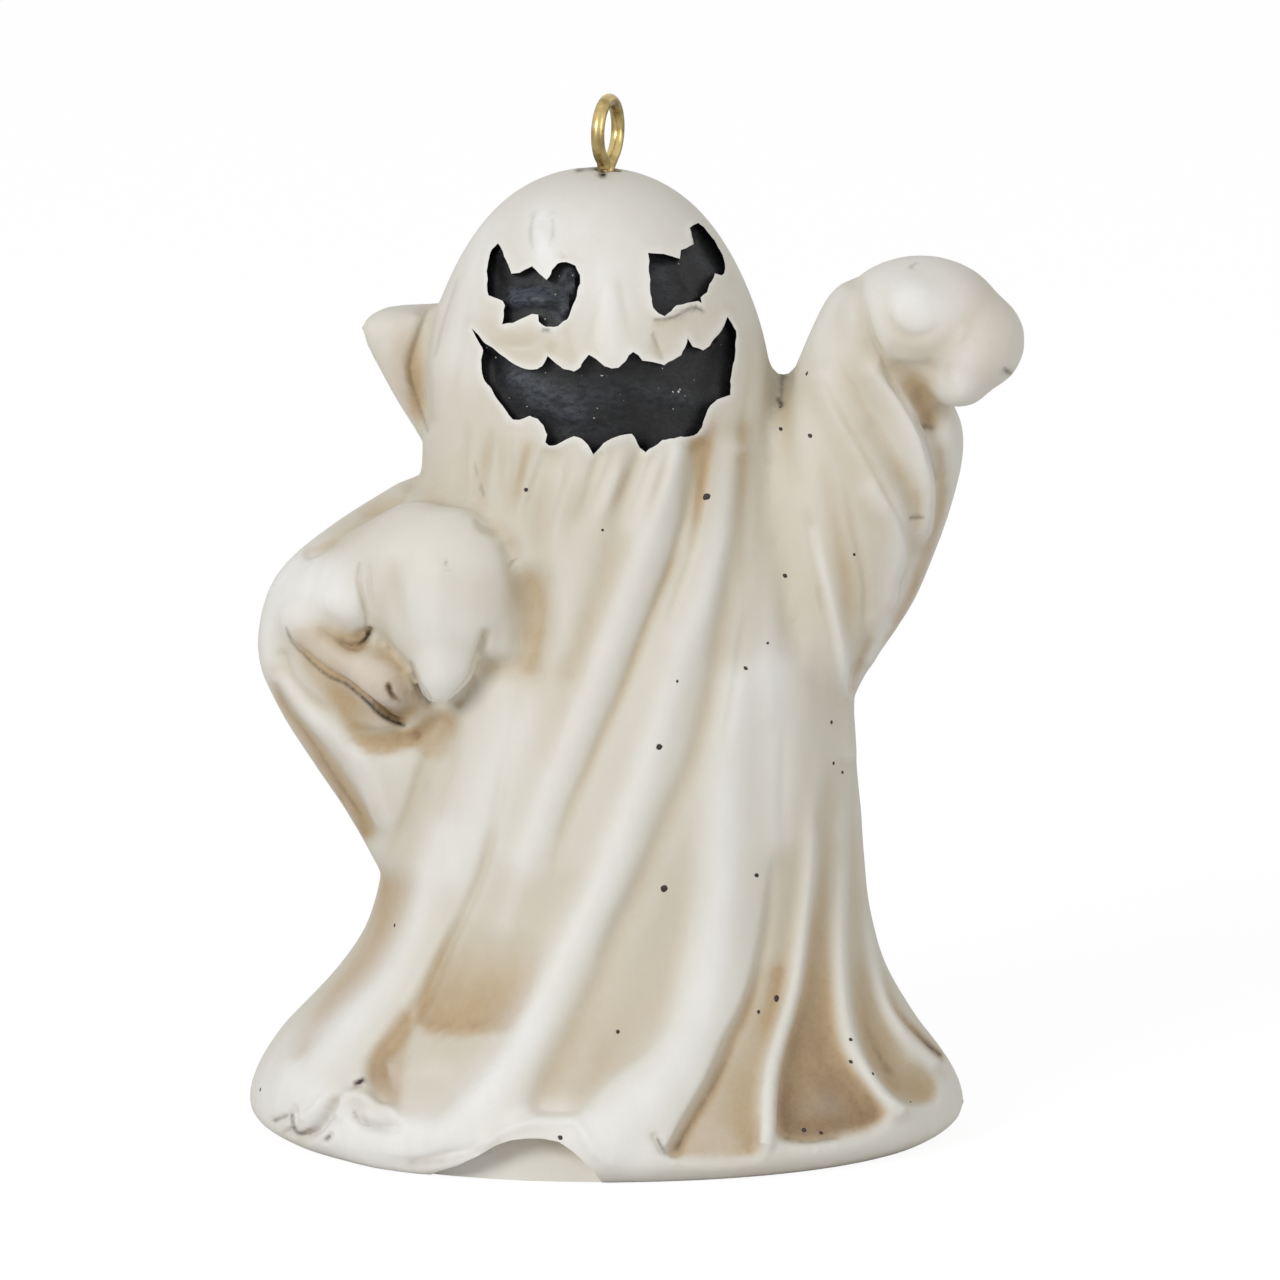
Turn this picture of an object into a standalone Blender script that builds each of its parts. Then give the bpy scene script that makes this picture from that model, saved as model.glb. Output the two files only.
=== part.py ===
# Ghost ornament: a cast resin figure under a sheet, with a brass screw eye in its crown.
# Lengths are in millimetres and meshes are made in metres, through MM. The figure faces -Y,
# up is +Z, and the origin is the middle of the flat foot.

import math

import bmesh
import bpy
import numpy as np
from mathutils import Matrix, Vector
from mathutils.bvhtree import BVHTree
from mathutils.geometry import delaunay_2d_cdt

MM = 0.001

# Sheet over the body: widths run side to side, depths run front to back
HEM_WIDTH = 53.7
HEM_DEPTH = 43.4
HEM_HEIGHT = 1.5            # the widest line of the hem, above the foot
HEM_ROLL = 1.9              # how far the edge rolls in again at the foot
HEM_ROLL_HEIGHT = 2.1       # the edge rolls in below this
FLARE_REACH = 9.7           # how far up the skirt the flare of the hem is felt
WAIST_WIDTH = 35.6
WAIST_DEPTH = 27.0
WAIST_HEIGHT = 24.0
CHEST_WIDTH = 33.6
CHEST_DEPTH = 25.2
CHEST_RISE = 12.0           # above the waist
SHOULDER_WIDTH = 28.2
SHOULDER_DEPTH = 24.0
SHOULDER_RISE = 12.0        # above the chest
HEAD_WIDTH = 25.8
HEAD_DEPTH = 23.2
HEAD_RISE = 10.0            # the dome's middle, above the shoulders
CROWN_RISE = 14.8           # the crown, above the dome's middle
CROWN_TAPER = 0.08          # how much slimmer the dome is than a plain ellipse

CHEST_HEIGHT = WAIST_HEIGHT + CHEST_RISE
SHOULDER_HEIGHT = CHEST_HEIGHT + SHOULDER_RISE
HEAD_HEIGHT = SHOULDER_HEIGHT + HEAD_RISE
CROWN_HEIGHT = HEAD_HEIGHT + CROWN_RISE

# How far the sheet's middle leans to the side, at heights above the foot
LEAN = ((0.0, 0.0), (7.5, -0.4), (15.0, 0.85), (20.0, 1.15), (36.0, 0.9), (48.0, 0.1), (58.0, -0.85))

# Face: three recesses, drawn as seen from the front and a little above
VIEW_ELEVATION = 11.0       # degrees
FACE_DEPTH = 1.1
FACE_DROP = 1.0             # the drawing's level below the head's middle
FLOOR_STEP = 1.6            # spacing of the points that carry a recess's floor

# Hollow under the lifted hem at the front
HEM_ARCH_DEPTH = 3.1        # from the hem's widest line in to the hollow's floor

# Screw eye and its hole
EYE_WIRE = 1.0              # wire diameter
EYE_DIAMETER = 5.6          # outside of the ring
EYE_GAP_ANGLE = 27.0        # degrees between the ring's lowest point and each end of its arc
EYE_TURN = 19.0             # degrees that the ring's plane is turned from the front-to-back line
SHANK_LENGTH = 8.0          # below the crown
SHANK_PLACE = (0.0, 0.0)
HOLE_CLEARANCE = 0.3

# Fineness of the modelled surface
VOXEL = 0.6
SMOOTH_STEPS = 6
BODY_TRIANGLES = 9400

# Rings of a loft: rise above the shoulders, middle to the side, middle to the back, half width,
# half depth
RAISED_SLEEVE = (
    (-18.0, 11.2, 1.0, 6.0, 7.0),
    (-14.5, 12.2, 0.8, 6.0, 7.2),
    (-12.0, 13.5, 0.5, 6.6, 7.4),
    (-9.0, 14.6, 0.2, 7.6, 7.5),
    (-6.0, 15.5, 0.0, 8.2, 7.6),
    (0.0, 17.3, -0.5, 8.5, 7.4),
    (5.0, 18.6, -1.0, 7.9, 6.6),
    (9.0, 19.4, -1.5, 5.5, 5.6),
    (13.0, 20.0, -2.0, 4.9, 4.9),
    (16.0, 20.7, -2.4, 4.0, 3.6),
    (17.2, 21.4, -2.6, 2.4, 2.2),
)
ELBOW_SLEEVE = (
    (-30.0, -10.7, -0.5, 5.4, 6.0),
    (-24.0, -12.7, -0.7, 6.7, 6.6),
    (-20.0, -14.2, -0.9, 7.8, 7.0),
    (-16.0, -15.3, -1.0, 9.2, 7.2),
    (-12.0, -16.0, -1.0, 10.1, 7.3),
    (-8.0, -15.7, -1.0, 10.0, 7.2),
    (-5.0, -15.0, -1.0, 9.1, 6.9),
    (-2.0, -13.2, -0.8, 7.2, 6.4),
    (1.0, -10.4, -0.5, 5.2, 5.6),
)
LONG_FINGER = (
    (-13.7, -12.7, -11.0, 0.5, 0.5),
    (-12.9, -12.5, -11.0, 1.4, 1.2),
    (-11.6, -12.1, -11.0, 2.2, 1.9),
    (-10.0, -12.0, -10.8, 2.8, 2.3),
    (-7.0, -12.1, -10.5, 3.4, 2.7),
    (-4.0, -12.0, -9.8, 3.8, 3.0),
)
SHORT_FINGER = (
    (-10.6, -8.2, -10.0, 0.6, 0.7),
    (-9.8, -8.1, -10.0, 1.4, 1.4),
    (-8.0, -8.0, -9.9, 1.8, 1.9),
    (-5.0, -8.4, -9.4, 2.4, 2.4),
)
# The same, with the rise above the head's middle
HOOD_POINT = (
    (-8.0, -11.0, 2.5, 1.7, 2.2),
    (-4.0, -11.0, 2.5, 4.3, 2.8),
    (-1.0, -11.0, 2.6, 6.0, 3.0),
    (2.0, -11.0, 2.8, 7.4, 3.0),
    (3.0, -11.6, 2.9, 6.5, 2.8),
    (3.8, -13.0, 3.0, 3.6, 2.2),
)

# Lumps of the hands: middle (side, back, rise above the shoulders) and half sizes
HAND_LUMPS = (
    ((23.2, -4.0, 14.0), (6.3, 5.0, 4.9)),       # raised palm
    ((27.0, -4.5, 12.6), (4.0, 4.2, 3.9)),       # its outer side
    ((26.2, -5.3, 10.2), (2.9, 3.1, 3.0)),       # its fingertips
    ((22.7, -7.0, 15.1), (2.9, 2.6, 2.9)),       # its thumb
    ((-11.8, -9.3, -5.4), (5.3, 4.5, 6.4)),      # bent hand
)
# Rolls of the bent sleeve: start, end (side, back, rise above the shoulders) and radius
SLEEVE_ROLLS = (
    ((-20.5, -2.5, -8.5), (-14.0, -8.0, -3.5), 4.6),    # forearm
    ((-22.0, -5.0, -8.3), (-16.7, -8.3, -12.6), 2.5),   # mouth of the sleeve
    ((-23.0, -3.5, -12.6), (-16.7, -7.3, -14.9), 1.9),  # its lower edge
)

# Folds seen from the front: relief at both ends (outwards positive), reach at both ends, and the
# path as (side, drawn height) points
FRONT_FOLDS = (
    ("left ridge", (0.2, 0.6), (1.3, 1.9),
     ((-13.2, 19.0), (-14.5, 15.0), (-16.4, 11.5), (-18.4, 9.0), (-20.8, 6.5), (-23.5, 4.0))),
    ("left crease", (-0.3, -0.7), (0.5, 0.8),
     ((-8.0, 25.5), (-9.2, 20.0), (-10.6, 16.5), (-12.4, 12.8), (-13.9, 9.8), (-15.7, 7.2),
      (-17.2, 5.2), (-16.9, 2.6))),
    ("middle ridge", (0.35, 0.75), (1.1, 1.7),
     ((9.4, 50.5), (8.9, 45.8), (7.6, 41.0), (5.4, 35.0), (3.6, 29.0), (1.6, 23.0), (-0.6, 18.0),
      (-2.8, 13.5), (-4.8, 9.6), (-7.0, 5.8), (-9.6, 2.2), (-12.0, -0.4))),
    ("second ridge", (0.5, 0.35), (1.0, 1.4),
     ((4.9, 50.3), (3.8, 46.5), (2.2, 41.5), (0.6, 37.0), (-1.6, 31.5), (-4.0, 26.0), (-6.2, 20.0),
      (-7.6, 15.5))),
    ("crease beside the second ridge", (-0.6, -0.2), (0.8, 1.0),
     ((6.6, 50.5), (6.1, 46.0), (4.6, 41.0), (2.4, 36.0), (0.0, 30.3), (-2.3, 25.0), (-3.8, 20.5))),
    ("middle valley", (-0.3, -0.5), (0.7, 0.9),
     ((10.0, 49.5), (9.3, 43.5), (8.5, 37.5), (7.6, 32.0), (6.2, 27.0), (3.9, 22.0), (1.8, 17.0),
      (0.0, 13.4), (-1.4, 10.4), (-3.0, 7.6), (-4.6, 4.8), (-5.2, 2.6))),
    ("broad ridge", (0.3, 0.75), (1.5, 2.3),
     ((9.6, 33.0), (8.8, 27.0), (8.6, 22.0), (8.4, 17.5), (7.9, 13.0), (7.0, 9.0), (5.2, 5.5),
      (2.6, 2.4), (-0.4, 0.0))),
    ("right crease", (-0.3, -0.5), (0.4, 0.55),
     ((12.5, 21.0), (11.9, 16.0), (11.3, 12.6), (10.4, 9.4), (9.0, 6.6), (7.6, 3.5), (5.8, 0.6),
      (5.0, -1.2))),
    ("thin right ridge", (0.3, 0.5), (0.6, 0.55),
     ((15.3, 23.0), (14.9, 18.0), (14.4, 14.2), (13.7, 10.0), (12.7, 6.6), (12.0, 3.6),
      (11.7, -0.8))),
    ("right ridge", (0.2, 0.55), (0.5, 0.5),
     ((17.5, 21.0), (17.3, 15.0), (17.4, 10.0), (17.9, 7.0), (18.8, 4.8), (20.2, 2.6),
      (21.6, 1.4))),
    ("outer right ridge", (0.2, 0.5), (0.45, 0.5),
     ((19.2, 17.0), (19.7, 12.8), (20.5, 9.6), (21.9, 7.2), (24.3, 4.9))),
    ("outer right valley", (-0.2, -0.5), (0.35, 0.4),
     ((20.1, 13.0), (21.2, 9.4), (22.8, 7.2), (24.8, 5.3))),
    ("hem edge", (0.3, 0.3), (0.45, 0.5),
     ((-21.0, -1.7), (-17.0, -2.5), (-13.2, -2.7), (-9.7, -1.5), (-8.2, -0.3), (-6.1, 0.6),
      (-3.6, 0.9), (-2.2, 0.6), (-0.9, -1.4), (1.2, -3.0))),
    ("hem crumple", (-0.6, -0.6), (0.45, 0.5),
     ((-22.9, -0.3), (-21.8, 0.3), (-20.4, 2.1))),
    ("hem dimple", (-0.5, -0.4), (0.5, 0.5),
     ((-18.7, 1.4), (-18.3, 0.6), (-17.0, 0.3), (-15.9, 0.3))),
    ("hem curl", (0.4, 0.3), (0.6, 0.6),
     ((-19.9, 1.2), (-19.2, 2.5), (-17.6, 2.3), (-15.9, 1.3))),
    ("chest valley", (-0.4, -0.3), (0.9, 1.2),
     ((-4.2, 50.0), (-5.1, 46.0), (-5.2, 41.0), (-5.6, 37.0))),
    ("chest ridge", (0.3, 0.1), (0.6, 0.7),
     ((-3.2, 49.0), (-3.7, 45.5), (-4.4, 42.0))),
    ("small chest valley", (-0.3, -0.3), (0.8, 0.9),
     ((2.2, 50.5), (1.0, 45.5), (-0.6, 40.0), (-2.8, 34.0))),
    ("shade beside the hand", (-0.6, -0.3), (1.3, 1.6),
     ((-5.6, 40.5), (-5.3, 36.8), (-6.0, 33.8))),
    ("neck crease", (-0.5, -0.2), (0.7, 0.9),
     ((13.1, 56.4), (13.1, 53.0), (13.4, 49.0))),
    ("sleeve front edge", (0.6, 0.45), (0.9, 0.8),
     ((19.8, 56.4), (21.9, 53.6), (23.3, 50.5), (23.9, 47.0), (23.8, 44.5))),
    ("sleeve hollow", (-0.9, -0.5), (0.8, 0.7),
     ((24.2, 52.6), (24.8, 49.6), (25.0, 47.0), (24.6, 44.4), (23.2, 41.2), (21.6, 38.4))),
    ("sleeve hollow mouth", (-0.3, -0.4), (0.9, 0.7),
     ((21.4, 55.8), (22.9, 54.6), (23.7, 53.0))),
    ("sleeve fold valley", (-0.25, -0.5), (0.8, 0.8),
     ((19.6, 52.0), (21.2, 49.4), (22.6, 47.2), (22.8, 43.5), (22.2, 40.5))),
    ("sleeve fold ridge", (0.35, 0.35), (1.0, 0.8),
     ((19.8, 47.5), (21.6, 45.4), (22.0, 42.5), (21.0, 38.8), (19.4, 35.0))),
    ("sleeve shoulder ridge", (0.3, 0.2), (0.9, 0.9),
     ((15.8, 56.0), (17.4, 52.5), (19.3, 49.5), (20.4, 46.5))),
    ("sleeve hanging ridge", (0.25, 0.45), (0.7, 0.6),
     ((15.2, 44.5), (16.3, 40.0), (17.2, 36.0), (17.8, 32.0), (17.9, 28.0))),
    ("sleeve hanging valley", (-0.3, -0.6), (0.8, 0.6),
     ((20.2, 38.0), (19.0, 35.2), (18.3, 33.0))),
    ("cuff of the raised hand", (-0.35, -0.5), (0.55, 0.8),
     ((18.4, 63.0), (18.5, 60.4), (19.4, 58.0), (21.2, 56.5), (23.6, 56.4))),
    ("sleeve mouth crease", (-0.15, -0.55), (0.4, 0.55),
     ((-23.8, 37.0), (-22.0, 34.8), (-19.8, 33.3), (-17.6, 31.5), (-15.4, 30.2))),
    ("hollow under the sleeve", (-0.4, -0.9), (0.8, 1.0),
     ((-18.6, 29.2), (-16.5, 28.9), (-14.0, 29.2), (-12.6, 30.2))),
    ("elbow underside valley", (-0.4, -0.6), (0.7, 0.9),
     ((-24.8, 32.8), (-23.0, 30.0), (-21.0, 27.2), (-19.4, 24.8), (-18.0, 22.4))),
    ("elbow underside ridge", (0.35, 0.35), (0.7, 0.8),
     ((-24.6, 33.4), (-22.6, 30.9), (-19.8, 28.7), (-17.8, 26.4), (-17.0, 23.0))),
    ("elbow inner valley", (-0.4, -0.3), (0.5, 0.5),
     ((-24.3, 35.2), (-23.7, 33.6), (-22.6, 32.3), (-21.3, 31.3), (-20.2, 31.1))),
    ("sleeve dimple", (-0.4, -0.7), (0.9, 0.6),
     ((-20.8, 37.0), (-19.2, 36.2), (-17.9, 36.6))),
    ("sleeve mound", (0.5, 0.4), (0.9, 0.9),
     ((-20.6, 39.4), (-19.4, 38.6))),
    ("tongue ridge", (0.3, 0.3), (0.5, 0.5),
     ((-15.0, 34.4), (-14.4, 32.6), (-14.9, 30.9))),
    ("beside the long finger", (-0.35, -0.5), (0.4, 0.45),
     ((-9.0, 36.8), (-9.5, 34.9), (-10.2, 33.2), (-11.2, 31.9))),
    ("round the bent hand", (-0.3, -0.5), (0.7, 0.8),
     ((-7.2, 43.2), (-6.1, 40.0), (-6.0, 37.0), (-6.8, 34.6), (-8.6, 34.2))),
    ("hand back ridge", (0.3, 0.3), (0.9, 0.8),
     ((-12.6, 41.5), (-12.7, 37.5), (-12.6, 33.5))),
    ("hood crease", (-0.5, -0.4), (0.6, 0.7),
     ((-13.6, 60.6), (-14.0, 57.0), (-13.7, 53.0))),
    ("nose ridge", (0.2, 0.12), (0.9, 0.9),
     ((0.3, 62.0), (0.2, 59.0), (0.1, 57.8))),
)

# Pockets between the folds of the skirt: relief at the top and at the foot, softness of the edge,
# and the outline as (side, drawn height) points
POCKETS = (
    ("outer left", (-0.15, -0.6), 1.1,
     ((-17.4, 19.0), (-14.4, 18.5), (-15.2, 14.6), (-17.0, 11.7), (-19.4, 9.2), (-21.8, 6.2),
      (-23.0, 5.3), (-23.1, 6.2), (-22.4, 7.8), (-21.1, 10.0), (-19.5, 12.1), (-18.2, 14.6))),
    ("left", (-0.15, -0.75), 1.0,
     ((-8.4, 20.0), (-10.4, 15.7), (-12.2, 13.1), (-14.0, 10.3), (-15.7, 7.8), (-17.7, 5.5),
      (-18.0, 4.2), (-16.8, 2.4), (-15.2, 1.4), (-12.9, 1.2), (-10.4, 3.0), (-8.4, 5.2),
      (-7.0, 7.6), (-5.6, 10.4), (-4.0, 13.5), (-2.4, 16.4), (-1.6, 19.0))),
    ("middle", (-0.1, -0.85), 0.7,
     ((4.2, 23.0), (2.0, 18.5), (0.1, 15.0), (-0.7, 11.9), (-2.1, 9.1), (-3.3, 7.1), (-4.7, 4.6),
      (-5.5, 2.4), (-5.1, 1.5), (-3.6, 1.1), (-2.1, 1.7), (0.0, 4.0), (2.8, 6.1), (4.3, 8.1),
      (5.0, 10.5), (5.5, 12.9), (6.0, 15.7), (6.4, 19.0), (6.2, 23.0))),
    ("right", (-0.1, -0.75), 0.55,
     ((12.5, 19.0), (11.7, 15.0), (11.1, 12.2), (10.2, 9.4), (8.8, 6.7), (7.4, 3.5), (5.2, -0.5),
      (4.8, -1.75), (11.0, -1.85), (11.1, 1.8), (11.4, 4.6), (12.0, 6.4), (13.0, 9.1), (13.7, 12.2),
      (14.1, 15.7), (14.3, 18.5))),
    ("wide", (-0.2, -1.1), 0.5,
     ((15.2, 19.0), (14.9, 15.0), (14.5, 11.5), (13.8, 8.8), (13.1, 6.7), (12.6, 4.6), (12.3, 1.8),
      (12.5, 0.3), (13.3, -0.5), (14.8, -0.75), (17.1, -0.5), (19.5, 0.1), (20.5, 1.3), (19.4, 3.2),
      (18.0, 4.9), (17.1, 7.0), (16.8, 9.8), (16.6, 15.0), (16.8, 18.5))),
    ("right valley", (-0.1, -0.8), 0.45,
     ((18.0, 18.5), (18.0, 13.3), (18.2, 9.8), (18.6, 7.0), (19.3, 4.9), (20.6, 3.2), (21.9, 2.2),
      (23.3, 1.9), (24.4, 2.2), (24.6, 3.2), (23.9, 4.2), (22.5, 5.3), (21.5, 6.7), (20.4, 8.8),
      (19.7, 11.2), (19.1, 14.3), (18.9, 18.5))),
)

# Folds seen from behind: relief, reach at both ends, and the path as (side, height) points
BACK_FOLDS = (
    ((0.3, 1.0), (1.4, 2.4), ((-2.0, 50.0), (-4.5, 38.0), (-7.5, 25.0), (-12.5, 11.0), (-17.5, 2.5))),
    ((-0.3, -1.1), (1.2, 1.9), ((0.5, 48.0), (-1.2, 36.0), (-3.4, 24.0), (-6.5, 12.0), (-9.0, 4.0))),
    ((0.3, 1.1), (1.4, 2.4), ((3.0, 49.0), (2.4, 36.0), (1.4, 24.0), (0.2, 12.0), (-1.0, 2.0))),
    ((-0.3, -1.1), (1.2, 1.8), ((6.0, 46.0), (6.0, 34.0), (6.2, 22.0), (7.0, 12.0), (7.6, 4.0))),
    ((0.3, 1.0), (1.3, 2.2), ((8.6, 44.0), (9.6, 32.0), (10.6, 22.0), (13.0, 11.0), (16.0, 3.0))),
    ((-0.3, -0.8), (1.0, 1.4), ((-8.0, 44.0), (-10.5, 30.0), (-13.4, 18.0), (-17.5, 9.0))),
    ((-0.4, -0.7), (1.0, 1.3), ((13.0, 44.0), (14.5, 31.0), (16.2, 18.0), (20.5, 7.5))),
    ((-0.8, -0.4), (0.9, 1.2), ((-6.5, 60.0), (-8.6, 55.0), (-9.0, 49.0))),
    ((0.4, 0.3), (1.2, 1.2), ((17.0, 58.0), (19.0, 50.0), (18.0, 42.0))),
    ((-0.5, -0.4), (1.0, 1.0), ((-18.0, 42.0), (-19.0, 36.0), (-17.0, 29.0))),
)

# Outlines of the face, as (side, drawn height above the head's middle) points
LEFT_EYE = (
    (-8.1, 8.8), (-7.4, 7.2), (-7.0, 6.55), (-5.6, 7.1), (-4.5, 6.0), (-3.9, 7.1), (-3.1, 7.4),
    (-2.2, 7.0), (-2.05, 5.8), (-2.6, 4.0), (-3.2, 2.9), (-4.3, 2.55), (-5.1, 3.1), (-5.6, 3.5),
    (-6.9, 2.95), (-7.8, 2.8), (-7.6, 4.3), (-8.85, 4.9), (-8.95, 6.5), (-8.6, 8.3),
)
RIGHT_EYE = (
    (3.0, 8.1), (4.2, 8.0), (5.35, 7.65), (5.6, 8.5), (6.4, 8.8), (6.1, 10.0), (6.7, 10.35),
    (7.9, 9.1), (8.6, 7.6), (8.55, 6.5), (7.95, 6.6), (7.3, 5.2), (6.8, 4.45), (5.6, 4.3),
    (4.7, 3.75), (4.1, 3.4), (3.4, 4.0), (3.1, 5.6),
)
MOUTH = (
    (-10.1, 2.5), (-8.4, 0.85), (-6.8, -0.25), (-5.4, -0.65), (-4.4, 0.4), (-3.5, -0.45),
    (-2.4, -0.65), (-1.4, 0.5), (-0.4, -0.4), (0.7, -0.5), (1.85, 0.7), (2.7, 0.05), (4.2, -0.25),
    (5.3, 0.4), (5.9, 1.75), (6.5, 1.0), (7.2, 0.9), (8.2, 2.1), (8.85, 3.4), (9.5, 2.2), (9.4, 0.2),
    (9.1, -2.4), (7.8, -3.0), (7.0, -4.8), (6.2, -5.5), (4.6, -5.75), (2.85, -6.7), (1.9, -5.35),
    (0.4, -5.7), (-1.05, -6.85), (-1.9, -5.7), (-2.8, -5.65), (-4.3, -6.25), (-4.6, -5.2),
    (-5.5, -4.05), (-6.8, -4.35), (-7.8, -3.2), (-9.1, -1.4), (-9.4, -0.3), (-9.25, 0.8),
)
# Outline of the lifted hem, as (side, height) points, closed below the foot
HEM_ARCH = (
    (-13.6, -0.5), (-12.6, 0.6), (-11.2, 1.3), (-9.7, 2.1), (-8.3, 3.0), (-7.2, 3.4), (-6.0, 3.6),
    (-4.8, 3.6), (-3.6, 3.4), (-2.6, 2.8), (-1.8, 2.1), (-1.0, 1.2), (-0.2, -0.5),
)


def clear_scene():
    for item in list(bpy.data.objects):
        bpy.data.objects.remove(item, do_unlink=True)


def add_object(name, mesh):
    item = bpy.data.objects.new(name, mesh)
    bpy.context.scene.collection.objects.link(item)
    return item


def paint(name, colour, roughness, metallic=0.0):
    material = bpy.data.materials.new(name)
    material.use_nodes = True
    shader = material.node_tree.nodes["Principled BSDF"]
    shader.inputs["Base Color"].default_value = (*colour, 1.0)
    shader.inputs["Roughness"].default_value = roughness
    shader.inputs["Metallic"].default_value = metallic
    material.diffuse_color = (*colour, 1.0)
    return material


def evaluated_mesh(item):
    # The mesh as its modifiers leave it, with the modifiers taken off
    view = bpy.context.evaluated_depsgraph_get()
    mesh = bpy.data.meshes.new_from_object(item.evaluated_get(view))
    item.modifiers.clear()
    item.data = mesh
    return mesh


# Smooth curves through hand-chosen rows

def smooth_rows(rows, steps):
    # Catmull-Rom through the rows, with this many steps between two of them
    rows = np.array(rows, dtype=float)
    before = np.vstack((2 * rows[0] - rows[1], rows[:-2], rows[-2:-1]))[:len(rows) - 1]
    start = rows[:-1]
    end = rows[1:]
    after = np.vstack((rows[2:], 2 * rows[-1] - rows[-2]))
    result = []
    for index in range(len(start)):
        for t in np.arange(steps) / steps:
            a, b, c, d = before[index], start[index], end[index], after[index]
            result.append(0.5 * (2 * b + (c - a) * t + (2 * a - 5 * b + 4 * c - d) * t ** 2
                                 + (3 * b - a - 3 * c + d) * t ** 3))
    result.append(rows[-1])
    return np.array(result)


# Closed forms that the casting is built up from

def loft(bm, rings, sides=56):
    # Horizontal elliptical rings (height, side, back, half width, half depth), closed at both ends
    loops = []
    for height, side, back, half_width, half_depth in rings:
        loop = []
        for step in range(sides):
            angle = 2 * math.pi * step / sides
            point = (side + half_width * math.cos(angle), back + half_depth * math.sin(angle), height)
            loop.append(bm.verts.new(Vector(point) * MM))
        loops.append(loop)
    for lower, upper in zip(loops, loops[1:]):
        for step in range(sides):
            after = (step + 1) % sides
            bm.faces.new((lower[step], lower[after], upper[after], upper[step]))
    bm.faces.new(reversed(loops[0]))
    bm.faces.new(loops[-1])


def lump(bm, middle, half_sizes):
    steps = 14
    rings = []
    for step in range(1, steps):
        angle = math.pi * (step / steps - 0.5)
        rings.append((middle[2] + half_sizes[2] * math.sin(angle), middle[0], middle[1],
                      half_sizes[0] * math.cos(angle), half_sizes[1] * math.cos(angle)))
    loft(bm, rings, 24)


def roll(bm, start, end, radius):
    # Balls along a line, close enough to read as one rounded roll
    start = Vector(start)
    end = Vector(end)
    count = max(2, math.ceil((end - start).length / (0.35 * radius)) + 1)
    for step in range(count):
        lump(bm, start.lerp(end, step / (count - 1)), (radius, radius, radius))


def sheet_rings():
    # The draped sheet from below the foot to the crown
    stations = (
        (WAIST_HEIGHT, WAIST_WIDTH, WAIST_DEPTH),
        (CHEST_HEIGHT, CHEST_WIDTH, CHEST_DEPTH),
        (SHOULDER_HEIGHT, SHOULDER_WIDTH, SHOULDER_DEPTH),
        (HEAD_HEIGHT, HEAD_WIDTH, HEAD_DEPTH),
    )
    upper = smooth_rows(stations, 8)
    lean_heights, leans = zip(*LEAN)
    rings = []
    foot_drop = 2.0
    for height in np.arange(-foot_drop, HEAD_HEIGHT, 1.0):
        width = np.interp(height, upper[:, 0], upper[:, 1])
        depth = np.interp(height, upper[:, 0], upper[:, 2])
        flare = math.exp(-((height - HEM_HEIGHT) / FLARE_REACH) ** 2)
        rolled = HEM_ROLL * max(0.0, 1.0 - height / HEM_ROLL_HEIGHT) ** 2
        width += (HEM_WIDTH - WAIST_WIDTH) * flare
        depth += (HEM_DEPTH - WAIST_DEPTH) * flare
        rings.append((height, np.interp(height, lean_heights, leans), 0.0,
                      width / 2 - rolled, depth / 2 - rolled))
    dome_steps = 16
    for step in range(dome_steps):
        angle = 0.5 * math.pi * step / dome_steps
        share = math.cos(angle) * (1.0 - CROWN_TAPER * math.cos(angle) * math.sin(2 * angle))
        rings.append((HEAD_HEIGHT + CROWN_RISE * math.sin(angle), leans[-1], 0.0,
                      HEAD_WIDTH / 2 * share, HEAD_DEPTH / 2 * share))
    return rings


def raised(rings, height):
    return [(row[0] + height, *row[1:]) for row in smooth_rows(rings, 4)]


def lifted(point, height=SHOULDER_HEIGHT):
    return (point[0], point[1], point[2] + height)


def rough_casting():
    # All forms as one skin, before the folds
    bm = bmesh.new()
    loft(bm, sheet_rings())
    loft(bm, raised(RAISED_SLEEVE, SHOULDER_HEIGHT), 40)
    loft(bm, raised(ELBOW_SLEEVE, SHOULDER_HEIGHT), 40)
    loft(bm, raised(LONG_FINGER, SHOULDER_HEIGHT), 32)
    loft(bm, raised(SHORT_FINGER, SHOULDER_HEIGHT), 32)
    loft(bm, raised(HOOD_POINT, HEAD_HEIGHT), 32)
    for middle, half_sizes in HAND_LUMPS:
        lump(bm, lifted(middle), half_sizes)
    for start, end, radius in SLEEVE_ROLLS:
        roll(bm, lifted(start), lifted(end), radius)
    mesh = bpy.data.meshes.new("ghost_body")
    bm.to_mesh(mesh)
    bm.free()
    return mesh


# Folds are pressed into the skin or raised from it

def fold_relief(path, relief, reach, across, up):
    # Relief of one fold at each point of a plane: a soft ridge or valley along a smooth path
    rows = smooth_rows(path, 3)
    share = np.linspace(0.0, 1.0, len(rows))
    nearest = np.full(len(across), np.inf)
    height = np.zeros(len(across))
    for index in range(len(rows) - 1):
        start, run = rows[index], rows[index + 1] - rows[index]
        t = ((across - start[0]) * run[0] + (up - start[1]) * run[1]) / (run @ run)
        t = np.clip(t, 0.0, 1.0)
        along = share[index] + t * (share[index + 1] - share[index])
        distance = np.hypot(across - start[0] - t * run[0], up - start[1] - t * run[1])
        distance /= reach[0] + (reach[1] - reach[0]) * along
        closer = distance < nearest
        nearest[closer] = distance[closer]
        height[closer] = (relief[0] + (relief[1] - relief[0]) * along)[closer]
    return height * np.exp(-nearest ** 2)


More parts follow.
